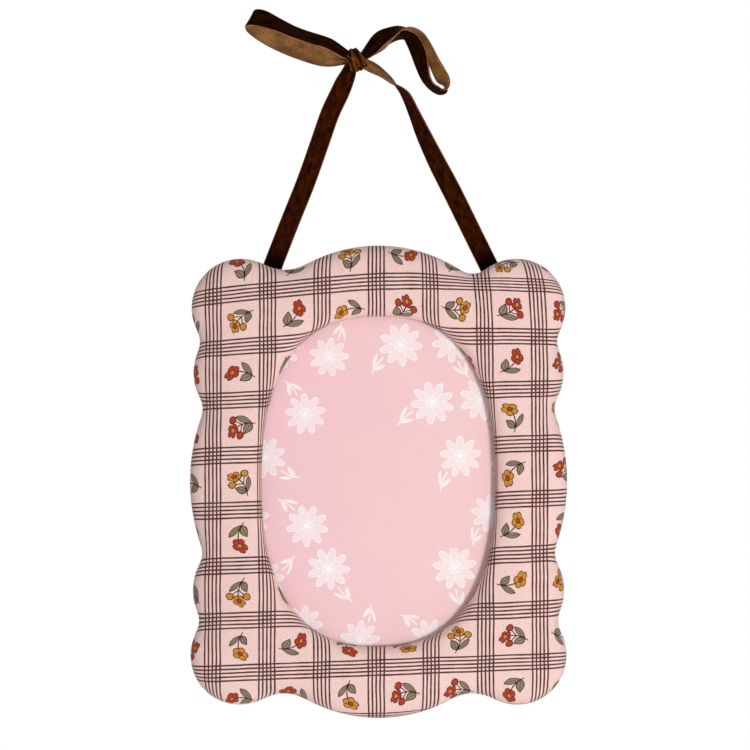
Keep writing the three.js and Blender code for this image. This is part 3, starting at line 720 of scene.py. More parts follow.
@dataclass(frozen=True)
class Daisy:
    """An outlined daisy of slim petals on a leafed stem, drawn in its own millimetres."""

    shift: float = 4.0
    petals: int = 9
    petal_middle: float = 5.9
    petal_length_half: float = 3.7
    petal_half: float = 1.75
    rim_half: float = 0.1
    vein_half: float = 0.12
    vein_middle: float = 5.4
    vein_length_half: float = 2.2
    button: float = 1.6
    ring: float = 2.1
    stem_middle: float = -14.2
    stem_length_half: float = 4.6
    stem_half: float = 0.3
    soft: float = 0.2
    bend: float = 0.03
    bend_middle: float = -9.0
    leaf_foot: float = -15.0
    leaf_spread: float = 0.45
    leaf_offset: float = 1.5
    leaf_middle: float = 1.0
    leaf_half: float = 3.0
    rim_soft: float = 0.12
    vein_soft: float = 0.16
    petal_share: float = 0.5
    vein_share: float = 0.85
    leaf_share: float = 0.8
    shrink: float = 0.84
    shrink_more: float = 0.12

    def _head(self, along: Shade, aside: Shade) -> Shade:
        """The petals, each with its rim and its vein, and the button.

        Args:
            along: the place along the stem from the button's middle.
            aside: the place aside of the stem.

        Returns:
            Their cover.
        """
        reach = span(along, aside)
        sector = FULL_TURN / self.petals
        turn = aside.angle_over(along) / sector
        offset = (turn - turn.nearest()) * sector
        x, y = reach * offset.cosine(), abs(reach * offset.sine())
        gap = span((x - self.petal_middle) / self.petal_length_half, y / self.petal_half) - 1.0
        rim = (abs(gap) - self.rim_half).inside(self.rim_soft)
        on_vein = abs(x - self.vein_middle) < self.vein_length_half
        vein = (y - self.vein_half).inside(self.vein_soft) & on_vein
        ring = (abs(reach - self.ring) - self.vein_half).inside(self.soft)
        button = (reach - self.button).inside(self.soft) | ring
        return rim | gap.inside(self.rim_soft) * self.petal_share | vein * self.vein_share | button

    def _stem(self, along: Shade, aside: Shade) -> Shade:
        """The stem and its two leaves.

        Args:
            along: the place along the stem from the button's middle.
            aside: the place aside of the stem.

        Returns:
            Their cover.
        """
        bent = abs(aside + (along - self.bend_middle).squared() * self.bend)
        reach = abs(along - self.stem_middle) < self.stem_length_half
        stem = (bent - self.stem_half).inside(self.soft) & reach
        leaf_x = along - self.leaf_foot
        leaf_y = abs(bent - leaf_x * self.leaf_spread - self.leaf_offset)
        belly = 1.0 - ((leaf_x - self.leaf_middle) / self.leaf_half).squared()
        return stem | (leaf_y - belly).inside(self.soft) * self.leaf_share

    def cover(self, x: Shade, y: Shade, luck: Luck) -> Shade:
        """Draws the daisy of a cell.

        Args:
            x: across the cell from its middle.
            y: up the cell from its middle.
            luck: the cell's three random numbers.

        Returns:
            The daisy's cover.
        """
        turn, size, _ = luck
        angle = turn * FULL_TURN
        shrink = self.shrink + size * self.shrink_more
        along, aside = turned(x, y, angle.cosine() * shrink, angle.sine() * shrink)
        along = along - self.shift
        return self._head(along, aside) | self._stem(along, aside)


@dataclass(frozen=True)
class InsertCard:
    """Pink card with a linen grain and pale line-drawn daisies round a bare middle.

    Sizes of the print are in millimetres.
    """

    cool: Colour = srgb("f2bec8")
    warm: Colour = srgb("f5cbc4")
    white: Colour = srgb("fffafa")
    daisy: Daisy = Daisy()
    pitch_across: float = 33.0
    pitch_up: float = 30.5
    column_shift: float = 0.25
    row_shift: float = 0.18
    bare_across: float = 34.0
    bare_up: float = 56.0
    patches: Grain = Grain(14.0)
    patch_share: float = 0.9
    warmer_rightwards: float = 0.004
    warmer_least: float = -0.05
    linen_up: Grain = Grain((2600.0, 1.0, 240.0))
    linen_across: Grain = Grain((240.0, 1.0, 2600.0))
    tooth: Grain = Grain(1300.0, 3.0, 0.75)
    tone: Blend = Blend(0.865, 0.1, 0.2)
    seed: float = 3.0
    relief: float = 0.03 * MM

    def _print(self, across: Shade, up: Shade) -> Shade:
        """Cover of the daisies, every other row of which is moved by half a column.

        Args:
            across: across the card from its middle.
            up: up the card from its middle.

        Returns:
            The cover.
        """
        row, cell_y = cells(up, self.pitch_up, self.row_shift)
        half = row.modulo(2.0) * 0.5
        column, cell_x = cells(across, self.pitch_across, half + self.column_shift)
        centre_x = (column - half + (0.5 - self.column_shift)) * self.pitch_across
        centre_y = (row + (0.5 - self.row_shift)) * self.pitch_up
        away = (centre_x / self.bare_across).squared() + (centre_y / self.bare_up).squared()
        luck = across.nodes.chance(column, row, self.seed)
        return self.daisy.cover(cell_x, cell_y, luck) * (away > 1.0)

    def material(self) -> Material:
        """Makes the card, on Object coordinates.

        Returns:
            The material.
        """
        swatch = Swatch("insert_card")
        place = swatch.place()
        x, _, z = swatch.split(place)
        across, up = x - float(MIDDLE[0] / MM), z - float(MIDDLE[2] / MM)
        cover = self._print(across, up)
        warmth = swatch.noise(place, self.patches) * self.patch_share + across * self.warmer_rightwards
        linen = (swatch.noise(place, self.linen_up) + swatch.noise(place, self.linen_across)) * 0.5
        tooth = swatch.noise(place, self.tooth)
        colour = swatch.mix(warmth.clamped(1.0, self.warmer_least), self.cool, self.warm)
        colour = swatch.shade_by(colour, self.tone.of(linen, tooth))
        colour = swatch.mix(cover & 1.0, colour, self.white)
        normal = swatch.bump(linen, self.relief)
        return swatch.finish(Base_Color=colour, Roughness=0.62, Normal=normal, Specular_IOR_Level=0.3)


@dataclass(frozen=True)
class Velvet:
    """Dark brown pile that catches the light where it leans, with painted highlights on gathered folds.

    Places across and along the ribbon are in millimetres.
    """

    name: str = "ribbon_velvet"
    deep: Colour = srgb("150400")
    rich: Colour = srgb("4e1e05")
    fold_highlight: Colour = srgb("96541c")
    sheen: Colour = srgb("a8560c")
    lean: Grain = Grain((320.0, 160.0, 1.0), 4.0, 0.6)
    lean_ramp: Row = (2.7, -0.92)
    lean_share: float = 0.85
    pile: Grain = Grain(1700.0, 3.0, 0.75)
    pile_tone: Row = (3.6, -0.85)
    wander: Grain = Grain((120.0, 150.0, 1.0))
    wander_ramp: Row = (3.4, -1.2)
    folds: float = 0.0
    fold_pitch: float = 5.8
    fold_wander: float = 10.0
    fold_power: float = 2.5
    fold_height: float = 1.6
    # Distance from the ribbon's middle, in millimetres, where the painted edge shade is deepest
    edge: float = 5.6
    edge_shade_power: float = 4.0
    shadow_length: float = 9.0
    shadow_tone: float = 0.35
    depth: float = 0.22 * MM
    uv: str = "ribbon"

    def material(self) -> Material:
        """Makes the pile, which follows the ribbon's own map.

        Returns:
            The material.
        """
        swatch = Swatch(self.name)
        place = swatch.place(self.uv)
        across, along, _ = swatch.split(place)
        lean = swatch.noise(place, self.lean)
        pile = swatch.noise(place, self.pile)
        # The pile lies in shadow where the ribbon goes in behind the front
        lit = (along + 1.0).clamped(1 / self.shadow_length, 0.0)
        # Painted shade: the pile is drawn darker towards the ribbon's edges
        unshaded_share = (1.0 - (across / self.edge) ** self.edge_shade_power) * lit
        rich = lean.clamped(*self.lean_ramp) * unshaded_share * self.lean_share
        colour = swatch.mix(rich, self.deep, self.rich)
        height = pile + lean
        if self.folds:
            wander = swatch.noise(place, self.wander)
            turn = (across + wander * self.fold_wander) * (FULL_TURN / self.fold_pitch)
            crest = turn.sine() * 0.5 + 0.5
            # Painted highlight along the crests of the folds
            lit_crest = (crest ** self.fold_power) * wander.clamped(*self.wander_ramp) * self.folds
            colour = swatch.mix(lit_crest, colour, self.fold_highlight)
            height = height + crest * self.fold_height
        factor, offset = self.pile_tone
        light = lit * (1.0 - self.shadow_tone) + self.shadow_tone
        colour = swatch.shade_by(colour, (pile * factor + offset) * light)
        return swatch.finish(
            Base_Color=colour, Roughness=0.88, Normal=swatch.bump(height, self.depth), Sheen_Weight=0.14,
            Sheen_Roughness=0.35, Sheen_Tint=(*self.sheen, 1.0), Specular_IOR_Level=0.03,
        )


@dataclass(frozen=True)
class SatinBack:
    """Tan satin of fine ribs across the ribbon."""

    name: str = "ribbon_satin"
    pale: Colour = srgb("b07c48")
    dark: Colour = srgb("623c1c")
    rough: float = 0.6
    shade: float = 0.45
    streaks: Grain = Grain((170.0, 110.0, 1.0), 3.0)
    streak_ramp: Row = (1.9, -0.42)
    threads: Grain = Grain(800.0, 3.0, 0.7)
    tone: Blend = Blend(0.36, 0.1, 1.2)
    edge_shade_ramp: Row = (-0.1, 0.5)
    rib_pitch: float = 0.55
    relief: float = 0.05 * MM
    uv: str = "ribbon"

    def material(self) -> Material:
        """Makes the satin, which follows the ribbon's own map.

        Returns:
            The material.
        """
        swatch = Swatch(self.name)
        place = swatch.place(self.uv)
        across, along, _ = swatch.split(place)
        ribs = (along * (FULL_TURN / self.rib_pitch)).sine() * 0.5 + 0.5
        streaks = swatch.noise(place, self.streaks)
        threads = swatch.noise(place, self.threads)
        colour = swatch.mix(streaks.clamped(*self.streak_ramp), self.pale, self.dark)
        # Painted shade: the satin is drawn darker towards one edge, as if that edge turned away from the
        # light
        away = 1.0 - across.clamped(*self.edge_shade_ramp).squared() * self.shade
        colour = swatch.shade_by(colour, self.tone.of(ribs, threads) * away)
        return swatch.finish(
            Base_Color=colour, Roughness=self.rough, Normal=swatch.bump(ribs, self.relief),
            Specular_IOR_Level=0.12,
        )


@dataclass(frozen=True)
class PlatedSteel:
    """Nickel plated steel with fine rubbed scratches."""

    colour: Colour = srgb("c9c6c0")
    rubbed: Grain = Grain((300.0, 300.0, 4200.0), 3.0)
    dull: Grain = Grain(160.0, 4.0)
    dull_share: float = 0.6
    clouded: float = 0.7
    roughness: Blend = Blend(0.24, 0.16, 0.1)
    relief: float = 0.01 * MM

    def material(self) -> Material:
        """Makes the metal, on Object coordinates.

        Returns:
            The material.
        """
        swatch = Swatch("plated_steel")
        place = swatch.place()
        rubbed = swatch.noise(place, self.rubbed)
        dull = swatch.noise(place, self.dull)
        colour = swatch.mix(dull * self.dull_share, self.colour, darker(self.colour, self.clouded))
        rough = self.roughness.of(rubbed, dull)
        normal = swatch.bump(rubbed, self.relief)
        return swatch.finish(Base_Color=colour, Metallic=1.0, Roughness=rough, Normal=normal)


@dataclass(frozen=True)
class ClearPane:
    """Clear pane that only shows by its gloss."""

    colour: Colour = srgb("f4f8f8")

    def material(self) -> Material:
        """The pane's material."""
        return Swatch("clear_pane").finish(Base_Color=self.colour, Roughness=0.04, Alpha=0.07, IOR=1.45)


class Finishes:
    """Every finish of the frame, made once and shared by the pieces that have it."""

    def __init__(self) -> None:
        """Makes the materials."""
        self.cotton = PrintedCotton().material()
        self.lining = PlainCloth().material()
        self.wadding = Wadding().material()
        self.board = Fibreboard().material()
        self.panel = Fibreboard("panel_board", srgb("8d6a48"), srgb("543820")).material()
        self.backing = Fibreboard("grey_board", srgb("b5aea2"), srgb("7d766b")).material()
        self.card = InsertCard().material()
        self.velvet = Velvet().material()
        self.satin = SatinBack().material()
        # Painted shade: the loops have a darker copy of the strands' velvet
        self.loop_velvet = Velvet("loop_velvet", srgb("0c0100"), srgb("331304")).material()
        self.knot_velvet = Velvet("knot_velvet", folds=0.85).material()
        self.selvedge = SatinBack("ribbon_selvedge", srgb("b87c4e"), srgb("6e3c18"), 0.5, 0.0).material()
        # Painted shade: the strands have a darker copy of the loops' selvedge
        self.shaded_selvedge = SatinBack("shaded_selvedge", srgb("8a5226"), srgb("4c240c"), 0.5, 0.0).material()
        self.steel = PlatedSteel().material()
        self.pane = ClearPane().material()


# Outlines and meshes


@dataclass(frozen=True)
class Circle:
    """A circle of the outline."""

    centre: np.ndarray
    radius: float

    def angle_to(self, point: np.ndarray) -> float:
        """Direction from the centre to a point."""
        away = point - self.centre
        return math.atan2(away[1], away[0])

    def arc(self, start: float, end: float, turn: int, inset: float, steps: int) -> List[np.ndarray]:
        """Points along an arc, without its last one.

        Args:
            start: the angle where it starts.
            end: the angle where it ends.
            turn: 1 for the way of growing angles, where the outline bulges, and -1 for the other way.
            inset: how far the outline is drawn in.
            steps: how many stretches it has.

        Returns:
            The points.
        """
        sweep = (end - start) % FULL_TURN if turn > 0 else -((start - end) % FULL_TURN)
        reach = self.radius - turn * inset
        angles = [start + sweep * step / steps for step in range(steps)]
        return [self.centre + reach * np.array((math.cos(a), math.sin(a))) for a in angles]


@dataclass(frozen=True)
class ScallopedEdge:
    """The front's outline: lobes bulge between dips, and a fillet rounds each dip.

    A dip's place is given as shares of the half width and the half height.
    """

    width: float = 203 * MM
    height: float = 254 * MM
    side_bulge: float = 6.2 * MM
    corner_bulge: float = 28.7 * MM
    side_dip: float = 12.5 * MM
    crown_dip: float = 22 * MM
    pulled_dip: float = 11 * MM
    dip_shares: Tuple[Row, ...] = ((0.918, 0.317), (0.926, 0.594), (0.513, 0.85))
    lobe_steps: Tuple[int, ...] = (5, 6, 16, 7)
    dip_steps: int = 5

    @staticmethod
    def _lobe(start: np.ndarray, end: np.ndarray, bulge: float) -> Circle:
        """The circle that bulges between two points.

        Args:
            start: the first point.
            end: the second point.
            bulge: how far it stands out on the right of the way from start to end.

        Returns:
            The circle.
        """
        half = float(np.linalg.norm(end - start)) / 2
        radius = (half * half + bulge * bulge) / (2 * bulge)
        out = np.array((end[1] - start[1], start[0] - end[0])) / (2 * half)
        return Circle((start + end) / 2 + out * (bulge - radius), radius)

    @staticmethod
    def _fillet(first: Circle, second: Circle, radius: float) -> Circle:
        """The circle that touches two lobes from outside, beside the dip between them.

        Args:
            first: the lobe before the dip.
            second: the lobe after it.
            radius: the circle's radius.

        Returns:
            The circle.
        """
        line = second.centre - first.centre
        distance = float(np.linalg.norm(line))
        line = line / distance
        reach, other = first.radius + radius, second.radius + radius
        along = (reach**2 - other**2 + distance**2) / (2 * distance)
        aside = math.sqrt(max(reach**2 - along**2, 0.0))
        return Circle(first.centre + line * along + np.array((line[1], -line[0])) * aside, radius)

    def _quarter(self, inset: float, crown_dip: float) -> List[np.ndarray]:
        """Points from the middle of the right side to the middle of the top.

        Args:
            inset: how far the outline is drawn in.
            crown_dip: the radius of the dip beside the crown.

        Returns:
            The points.
        """
        half = np.array((self.width, self.height)) / 2
        low, high, crown = (np.array(share) * half for share in self.dip_shares)
        lobes = [
            self._lobe(low * (1, -1), low, half[0] - low[0]),
            self._lobe(low, high, self.side_bulge),
            self._lobe(high, crown, self.corner_bulge),
            self._lobe(crown, crown * (-1, 1), half[1] - crown[1]),
        ]
        radii = (self.side_dip, self.side_dip, crown_dip)
        dips = [self._fillet(lobes[n], lobes[n + 1], radius) for n, radius in enumerate(radii)]
        points: List[np.ndarray] = []
        for n, lobe in enumerate(lobes):
            start = lobe.angle_to(dips[n - 1].centre) if n else 0.0
            end = lobe.angle_to(dips[n].centre) if n < len(dips) else math.pi / 2
            points += lobe.arc(start, end, 1, inset, self.lobe_steps[n])
            if n < len(dips):
                enter, leave = dips[n].angle_to(lobe.centre), dips[n].angle_to(lobes[n + 1].centre)
                points += dips[n].arc(enter, leave, -1, inset, self.dip_steps)
        points.append(np.array((0.0, half[1] - inset)))
        return points

    def points(self, inset: float = 0.0) -> np.ndarray:
        """The whole outline.

        Args:
            inset: how far it is drawn in.

        Returns:
            Its points, of which there are as many for every inset.
        """
        quarter = self._quarter(inset, self.crown_dip)
        back = quarter[1:-1][::-1]
        whole = self._quarter(inset, self.pulled_dip)
        whole += [point * (-1, 1) for point in back]
        whole += [point * (-1, -1) for point in quarter[:-1]]
        whole += [point * (1, -1) for point in quarter[:0:-1]]
        return np.array(whole)


@dataclass(frozen=True)
class OvalWindow:
    """The oval opening, with one point facing each point of the outline."""

    width: float = 125.8 * MM
    height: float = 177.6 * MM
    power: float = 2.45

    def facing(self, guide: np.ndarray, offset: float = 0.0) -> np.ndarray:
        """Points of the oval.

        Args:
            guide: points of the outline that they face.
            offset: how far the oval is grown.

        Returns:
            The points.
        """
        half = np.array((self.width, self.height)) / 2
        shares = guide / (2 * half)
        shaped = np.sign(shares) * np.abs(shares) ** (self.power / 2)
        angles = np.arctan2(shaped[:, 1], shaped[:, 0])
        unit = np.stack((np.cos(angles), np.sin(angles)), axis=1)
        points = half * np.sign(unit) * np.abs(unit) ** (2 / self.power)
        normals = np.sign(points) * np.abs(points / half) ** (self.power - 1) / half
        return points + unit_rows(normals) * offset


def unit_rows(rows: np.ndarray) -> np.ndarray:
    """Each row at a length of one."""
    return rows / np.linalg.norm(rows, axis=1)[:, None]


def level(points: np.ndarray, depth: float) -> np.ndarray:
    """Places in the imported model's frame of outline points at a depth behind the board's face."""
    return np.stack((points[:, 0], np.full(len(points), depth), points[:, 1]), axis=1) + MIDDLE


def eased(values: np.ndarray, start: float, span: float) -> np.ndarray:
    """A smooth rise from 0 at the start to 1 after the span."""
    share = np.clip((values - start) / span, 0.0, 1.0)
    return share * share * (3 - 2 * share)


def add_object(name: str, data: Any) -> Piece:
    """Puts an object into the scene.

    Args:
        name: the object's name.
        data: its mesh, lamp or camera.

    Returns:
        The object.
    """
    made = bpy.data.objects.new(name, data)
    bpy.context.scene.collection.objects.link(made)
    return made


def select_only(piece: Piece) -> None:
    """Selects one piece and nothing else.

    Args:
        piece: the piece.
    """
    bpy.ops.object.select_all(action="DESELECT")
    piece.select_set(True)
    bpy.context.view_layer.objects.active = piece


def apply_modifier(piece: Piece, kind: str, **settings: Any) -> None:
    """Adds a modifier and applies it.

    Args:
        piece: the piece that it changes.
        kind: the modifier's type.
        **settings: its attributes.
    """
    modifier = piece.modifiers.new(kind.lower(), kind)
    for key, value in settings.items():
        setattr(modifier, key, value)
    select_only(piece)
    bpy.ops.object.modifier_apply(modifier=modifier.name)


def smooth(piece: Piece, degrees: float = 50.0) -> None:
    """Shades a piece smooth, apart from edges sharper than an angle."""
    select_only(piece)
    bpy.ops.object.shade_smooth_by_angle(angle=math.radians(degrees))


def grid_piece(
    name: str,
    rows: Sequence[np.ndarray],
    finishes: Sequence[Material],
    closed: bool = False,
    maps: Optional[Tuple[str, Sequence[np.ndarray]]] = None,
    marks: Sequence[int] = (),
) -> Piece:
    """A piece woven from closed rows of places, each row joined to the next.

    Args:
        name: the piece's name.
        rows: the rows, all of one length.
        finishes: the materials.
        closed: whether the last row joins the first.
        maps: a map's name and its coordinates, as rows like the places.
        marks: the material's index of the faces after each column.

    Returns:
        The new piece.
    """
    count = len(rows[0])
    faces = []
    for row in range(len(rows) if closed else len(rows) - 1):
        here, after = row * count, (row + 1) % len(rows) * count
        for column in range(count):
            beside = (column + 1) % count
            faces.append((here + column, after + column, after + beside, here + beside))
    mesh = bpy.data.meshes.new(name)
    mesh.from_pydata([tuple(place) for place in np.concatenate(rows)], [], faces)
    for material in finishes:
        mesh.materials.append(material)
    if marks:
        mesh.polygons.foreach_set("material_index", list(marks) * (len(faces) // count))
    if maps:
        flat = np.concatenate(maps[1])
        mesh.uv_layers.new(name=maps[0]).data.foreach_set("uv", flat[np.array(faces)].ravel())
    mesh.update()
    return add_object(name, mesh)


def declare(piece: Piece, node: str) -> None:
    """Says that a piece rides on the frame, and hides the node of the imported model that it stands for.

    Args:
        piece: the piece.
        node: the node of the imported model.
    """
    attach(piece, BODY)
    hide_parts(node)


def own_material(material: Material, *nodes: str) -> None:
    """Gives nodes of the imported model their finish.

    Args:
        material: the finish.
        *nodes: the names of the nodes.
    """
    for node in nodes:
        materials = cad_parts[node].data.materials
        materials.clear()
        materials.append(material)


# Padded front and lining


@dataclass(frozen=True)
class ClothPull:
    """How the check leaves the square where the cloth was pulled over the frame by hand.

    Its rows rise a little to the right. Near the top they arch, and near the bottom they are lifted. At the
    top right its columns are gathered inwards and its rows are squeezed together.
    """

    slope: float = 0.039
    top_from: float = 35 * MM
    top_span: float = 70 * MM
    arch: float = 4.5 * MM
    arch_width: float = 87 * MM
    arch_level: float = 0.35
    right_from: float = 20 * MM
    right_span: float = 40 * MM
    gather: float = 1.7 * MM
    gather_most: float = 1.25
    squeeze: float = 0.33
    squeezed_from: float = 103 * MM
    lift: float = 1.9 * MM
    lift_from: float = 72 * MM
    lift_span: float = 30 * MM

    def shifted(self, flat: np.ndarray) -> np.ndarray:
        """Finds places on the print.

        Args:
            flat: places on the flat cloth.

        Returns:
            The places on the print.
        """
        across, up = flat[:, 0], flat[:, 1]
        arched = eased(up, self.top_from, self.top_span) * self.arch
        arched *= (np.abs(across) / self.arch_width) ** 1.5 - self.arch_level
        right = np.clip((across - self.right_from) / self.right_span, 0.0, 1.0)
        gathered = np.clip((up - self.top_from) / self.top_span, 0.0, self.gather_most) ** 5
        squeezed = self.squeeze * right * np.maximum(up - self.squeezed_from, 0.0)
        lifted = self.lift * eased(-up, self.lift_from, self.lift_span)
        moved_up = arched + squeezed - lifted - self.slope * across
        return np.stack((across + self.gather * right * gathered, up + moved_up), axis=1)


@dataclass
class PaddedFront:
    """Cotton stretched over wadding, round the scalloped edge and in round the oval."""

    finishes: Finishes
    edge: ScallopedEdge = field(default_factory=ScallopedEdge)
    window: OvalWindow = field(default_factory=OvalWindow)
    pull: ClothPull = field(default_factory=ClothPull)
    crown: float = 9.3 * MM
    dome: float = 0.5 * MM
    outer_roll: float = 13 * MM
    inner_roll: float = 9 * MM
    fullness: float = 0.9
    roll_steps: int = 8
    crown_steps: int = 6
    hem: float = 3.5 * MM
    # Share of the hem and depth behind the board's face of the rows behind the edge
    hem_rows: Tuple[Row, ...] = (
        (1.0, 3.5 * MM), (0.5, 3.75 * MM), (0.18, 3.5 * MM), (0.03, 2.9 * MM), (0.0, 1.6 * MM),
    )
    foot_depths: Row = (1.5 * MM, 3 * MM)
    cloth: float = 0.55 * MM
    wadding_gap: float = 0.45 * MM
    wadding_foot: float = -0.3 * MM
    most_moved: float = 1.2 * MM
    frames: int = 20
    blown: Dict[str, Any] = field(default_factory=lambda: {
        "quality": 6, "mass": 0.25, "tension_stiffness": 18, "compression_stiffness": 18,
        "shear_stiffness": 8, "bending_stiffness": 0.6, "use_pressure": True, "uniform_pressure_force": 4.0,
    })

    def _oval(self, inset: float = 0.0) -> np.ndarray:
        """Points of the window's edge, grown by an inset of the ring and facing the outline."""
        return self.window.facing(self.edge.points(), inset)

    def _roll(
        self, edge: Callable[[float], np.ndarray], width: float, height: float, skin: float = 0.0
    ) -> List[np.ndarray]:
        """Rows up one rolled edge, from the board's face to the crown.

        Args:
            edge: gives the edge's points at an inset.
            width: how far the roll reaches inwards from its edge.
            height: how high it rises.
            skin: how far it lies inside the edge.

        Returns:
            The rows.
        """
        rows = []
        for step in range(self.roll_steps + 1):
            angle = math.pi / 2 * step / self.roll_steps
            inset = skin + width * (1 - math.cos(angle) ** self.fullness)
            rows.append(level(edge(inset), -height * math.sin(angle) ** self.fullness))
        return rows

    def _rows(self) -> Tuple[List[np.ndarray], int]:
        """Rows of the cloth from its hem behind the edge to its foot in the window.

        Returns:
            The rows, and the index of the row where the crown starts.
        """
        hem = [level(self.edge.points(self.hem * share), depth) for share, depth in self.hem_rows]
        outer = self._roll(self.edge.points, self.outer_roll, self.crown)
        inner = self._roll(self._oval, self.inner_roll, self.crown)
        crown = []
        for step in range(1, self.crown_steps):
            share = step / self.crown_steps
            row = outer[-1] * (1 - share) + inner[-1] * share
            row[:, 1] -= self.dome * math.sin(math.pi * share)
            crown.append(row)
        foot = [level(self._oval(), depth) for depth in self.foot_depths]
        return hem + outer + crown + inner[::-1] + foot, len(hem) + len(outer) - 1

    def _print_map(self, rows: List[np.ndarray], start: int) -> List[np.ndarray]:
        """Places on the print: as seen on the crown, and unrolled over the edges.

        Args:
            rows: the rows of the cloth.
            start: the index of the row where the crown starts.

        Returns:
            Rows of places on the print.
        """
        end = start + self.crown_steps
        maps = [(row - MIDDLE)[:, (0, 2)] for row in rows]
        for first, last, way in ((start, -1, -1), (end, len(rows), 1)):
            toward = unit_rows((rows[first + way * self.roll_steps] - rows[first])[:, (0, 2)])
            for index in range(first + way, last, way):
                moved = np.linalg.norm(rows[index] - rows[index - way], axis=1)
                maps[index] = maps[index - way] + toward * moved[:, None]
        return [self.pull.shifted(flat) for flat in maps]

    def _inflate(self, piece: Piece, held: Iterable[int]) -> None:
        """Lets the wadding push the cloth out between its held edges, then keeps that shape.

        Args:
            piece: the cloth.
            held: the indices of the places that stay where they are.
        """
        rest = np.array([vertex.co for vertex in piece.data.vertices])
        group = piece.vertex_groups.new(name="held")
        group.add(list(held), 1.0, "REPLACE")
        modifier = piece.modifiers.new("cloth", "CLOTH")
        for key, value in self.blown.items():
            setattr(modifier.settings, key, value)
        modifier.settings.vertex_group_mass = group.name
        modifier.settings.effector_weights.gravity = 0
        modifier.point_cache.frame_start = 1
        modifier.point_cache.frame_end = self.frames
        scene = bpy.context.scene
        for step in range(1, self.frames + 1):
            scene.frame_set(step)
        shown = piece.evaluated_get(bpy.context.evaluated_depsgraph_get())
        moved = np.array([vertex.co for vertex in shown.data.vertices]) - rest
        size = np.linalg.norm(moved, axis=1)
        share = np.minimum(1.0, self.most_moved / np.maximum(size, 1e-9))
        piece.modifiers.remove(modifier)
        piece.vertex_groups.remove(group)
        piece.data.vertices.foreach_set("co", (rest + moved * share[:, None]).ravel())
        piece.data.update()
        scene.frame_set(1)
        LOG.info("cloth moved %.2f mm on average, %.2f mm at most", size.mean() / MM, size.max() / MM)

    def build_cover(self) -> None:
        """The printed cotton, blown out by its wadding."""
        rows, start = self._rows()
        maps = self._print_map(rows, start)
        piece = grid_piece("cotton_cover", rows, [self.finishes.cotton], maps=(PrintedCotton.uv, maps))
        piece.data.flip_normals()
        count = len(rows[0])
        # The hem is held behind the edge, and the last rows in the window
        first, last = len(self.hem_rows), len(rows) - len(self.foot_depths) - 1
        self._inflate(piece, [*range(first * count), *range(last * count, len(rows) * count)])
        apply_modifier(piece, "SUBSURF", levels=1, render_levels=1)
        apply_modifier(piece, "SOLIDIFY", thickness=self.cloth, offset=-1, use_rim=True)
        smooth(piece, 60)
        declare(piece, "front_cover")

    def build_wadding(self) -> None:
        """The crowned ring of wadding under the cotton."""
        skin = self.cloth + self.wadding_gap
        height = self.crown - skin
        outer = self._roll(self.edge.points, self.outer_roll - skin, height, skin)[1:]
        inner = self._roll(self._oval, self.inner_roll - skin, height, skin)[1:]
        foot_out = level(self.edge.points(skin), self.wadding_foot)
        foot_in = level(self._oval(skin), self.wadding_foot)
        rows = [foot_out, *outer, *inner[::-1], foot_in]
        piece = grid_piece("wadding_ring", rows, [self.finishes.wadding], closed=True)
        smooth(piece)
        declare(piece, "front_padding")


@dataclass
class BackLining:
    """Plain cloth over the rear board and its edge, turned in round the loading opening."""

    finishes: Finishes
    edge: ScallopedEdge = field(default_factory=ScallopedEdge)
    inset: float = 1 * MM
    front: float = 7.3 * MM
    back: float = 11.1 * MM
    opening_width: float = 141.3 * MM
    opening_height: float = 192.1 * MM
    cloth: float = 0.5 * MM
    # Inset and depth behind the board's front of the rows round its edge
    edge_rows: Tuple[Row, ...] = (
        (2.4 * MM, 0.0), (0.5 * MM, 0.0), (0.05 * MM, 0.5 * MM), (0.0, 2.2 * MM), (0.25 * MM, 3.4 * MM),
        (1.2 * MM, 3.8 * MM),
    )
    # Distance outside the opening and depth behind the board's front of the rows round it
    opening_rows: Tuple[Row, ...] = (
        (1.2 * MM, 3.8 * MM), (0.3 * MM, 3.65 * MM), (0.02 * MM, 2.9 * MM), (0.0, 0.3 * MM),
    )

    def _opening(self, guide: np.ndarray, grow: float) -> np.ndarray:
        """Points of the opening's edge, with its four corners kept.

        Args:
            guide: points of the outline that they face.
            grow: how far outside the opening they lie.

        Returns:
            The points.
        """
        half = np.array((self.opening_width, self.opening_height)) / 2 + grow
        scale = np.min(half / np.maximum(np.abs(guide), 1e-9), axis=1)
        points = guide * scale[:, None]
        for corner in ((1, 1), (-1, 1), (-1, -1), (1, -1)):
            place = half * np.array(corner)
            points[np.argmin(np.linalg.norm(points - place, axis=1))] = place
        return points

    def build(self) -> None:
        """The lining, as one turned cloth."""
        guide = self.edge.points(self.inset)
        edges = [(self.edge.points(self.inset + inset), depth) for inset, depth in self.edge_rows]
        rows = [level(points, self.front + depth) for points, depth in edges]
        outer, inner = edges[-1][0], self._opening(guide, self.opening_rows[0][0])
        rows += [level(outer * (1 - share) + inner * share, self.back) for share in (0.33, 0.67)]
        rows += [level(self._opening(guide, grow), self.front + depth) for grow, depth in self.opening_rows]
        piece = grid_piece("lining_cover", rows, [self.finishes.lining])
        piece.data.flip_normals()
        apply_modifier(piece, "SOLIDIFY", thickness=self.cloth, offset=-1, use_rim=True)
        smooth(piece)
        declare(piece, "back_cover")


# Ribbon


@dataclass(frozen=True)
class Strand:
    """A hanging length of ribbon, from its channel behind the front up to the knot.

    A row is the share of the way across, the share of the way up, the turn in degrees and the share of the
    ribbon's width.
    """

    side: Side
    entry: float
    steps: int
    rows: Tuple[Row, ...]


@dataclass(frozen=True)
class Loop:
    """A loop of the bow, out from the knot and back.

    A row is the share of the reach across and up, the share of the depth, the angle and the tilt of the
    direction across the ribbon in degrees, and the share of the ribbon's width.
    """

    side: Side
    reach: float
    depth: float
    lift: float
    steps: int
    rows: Tuple[Row, ...]


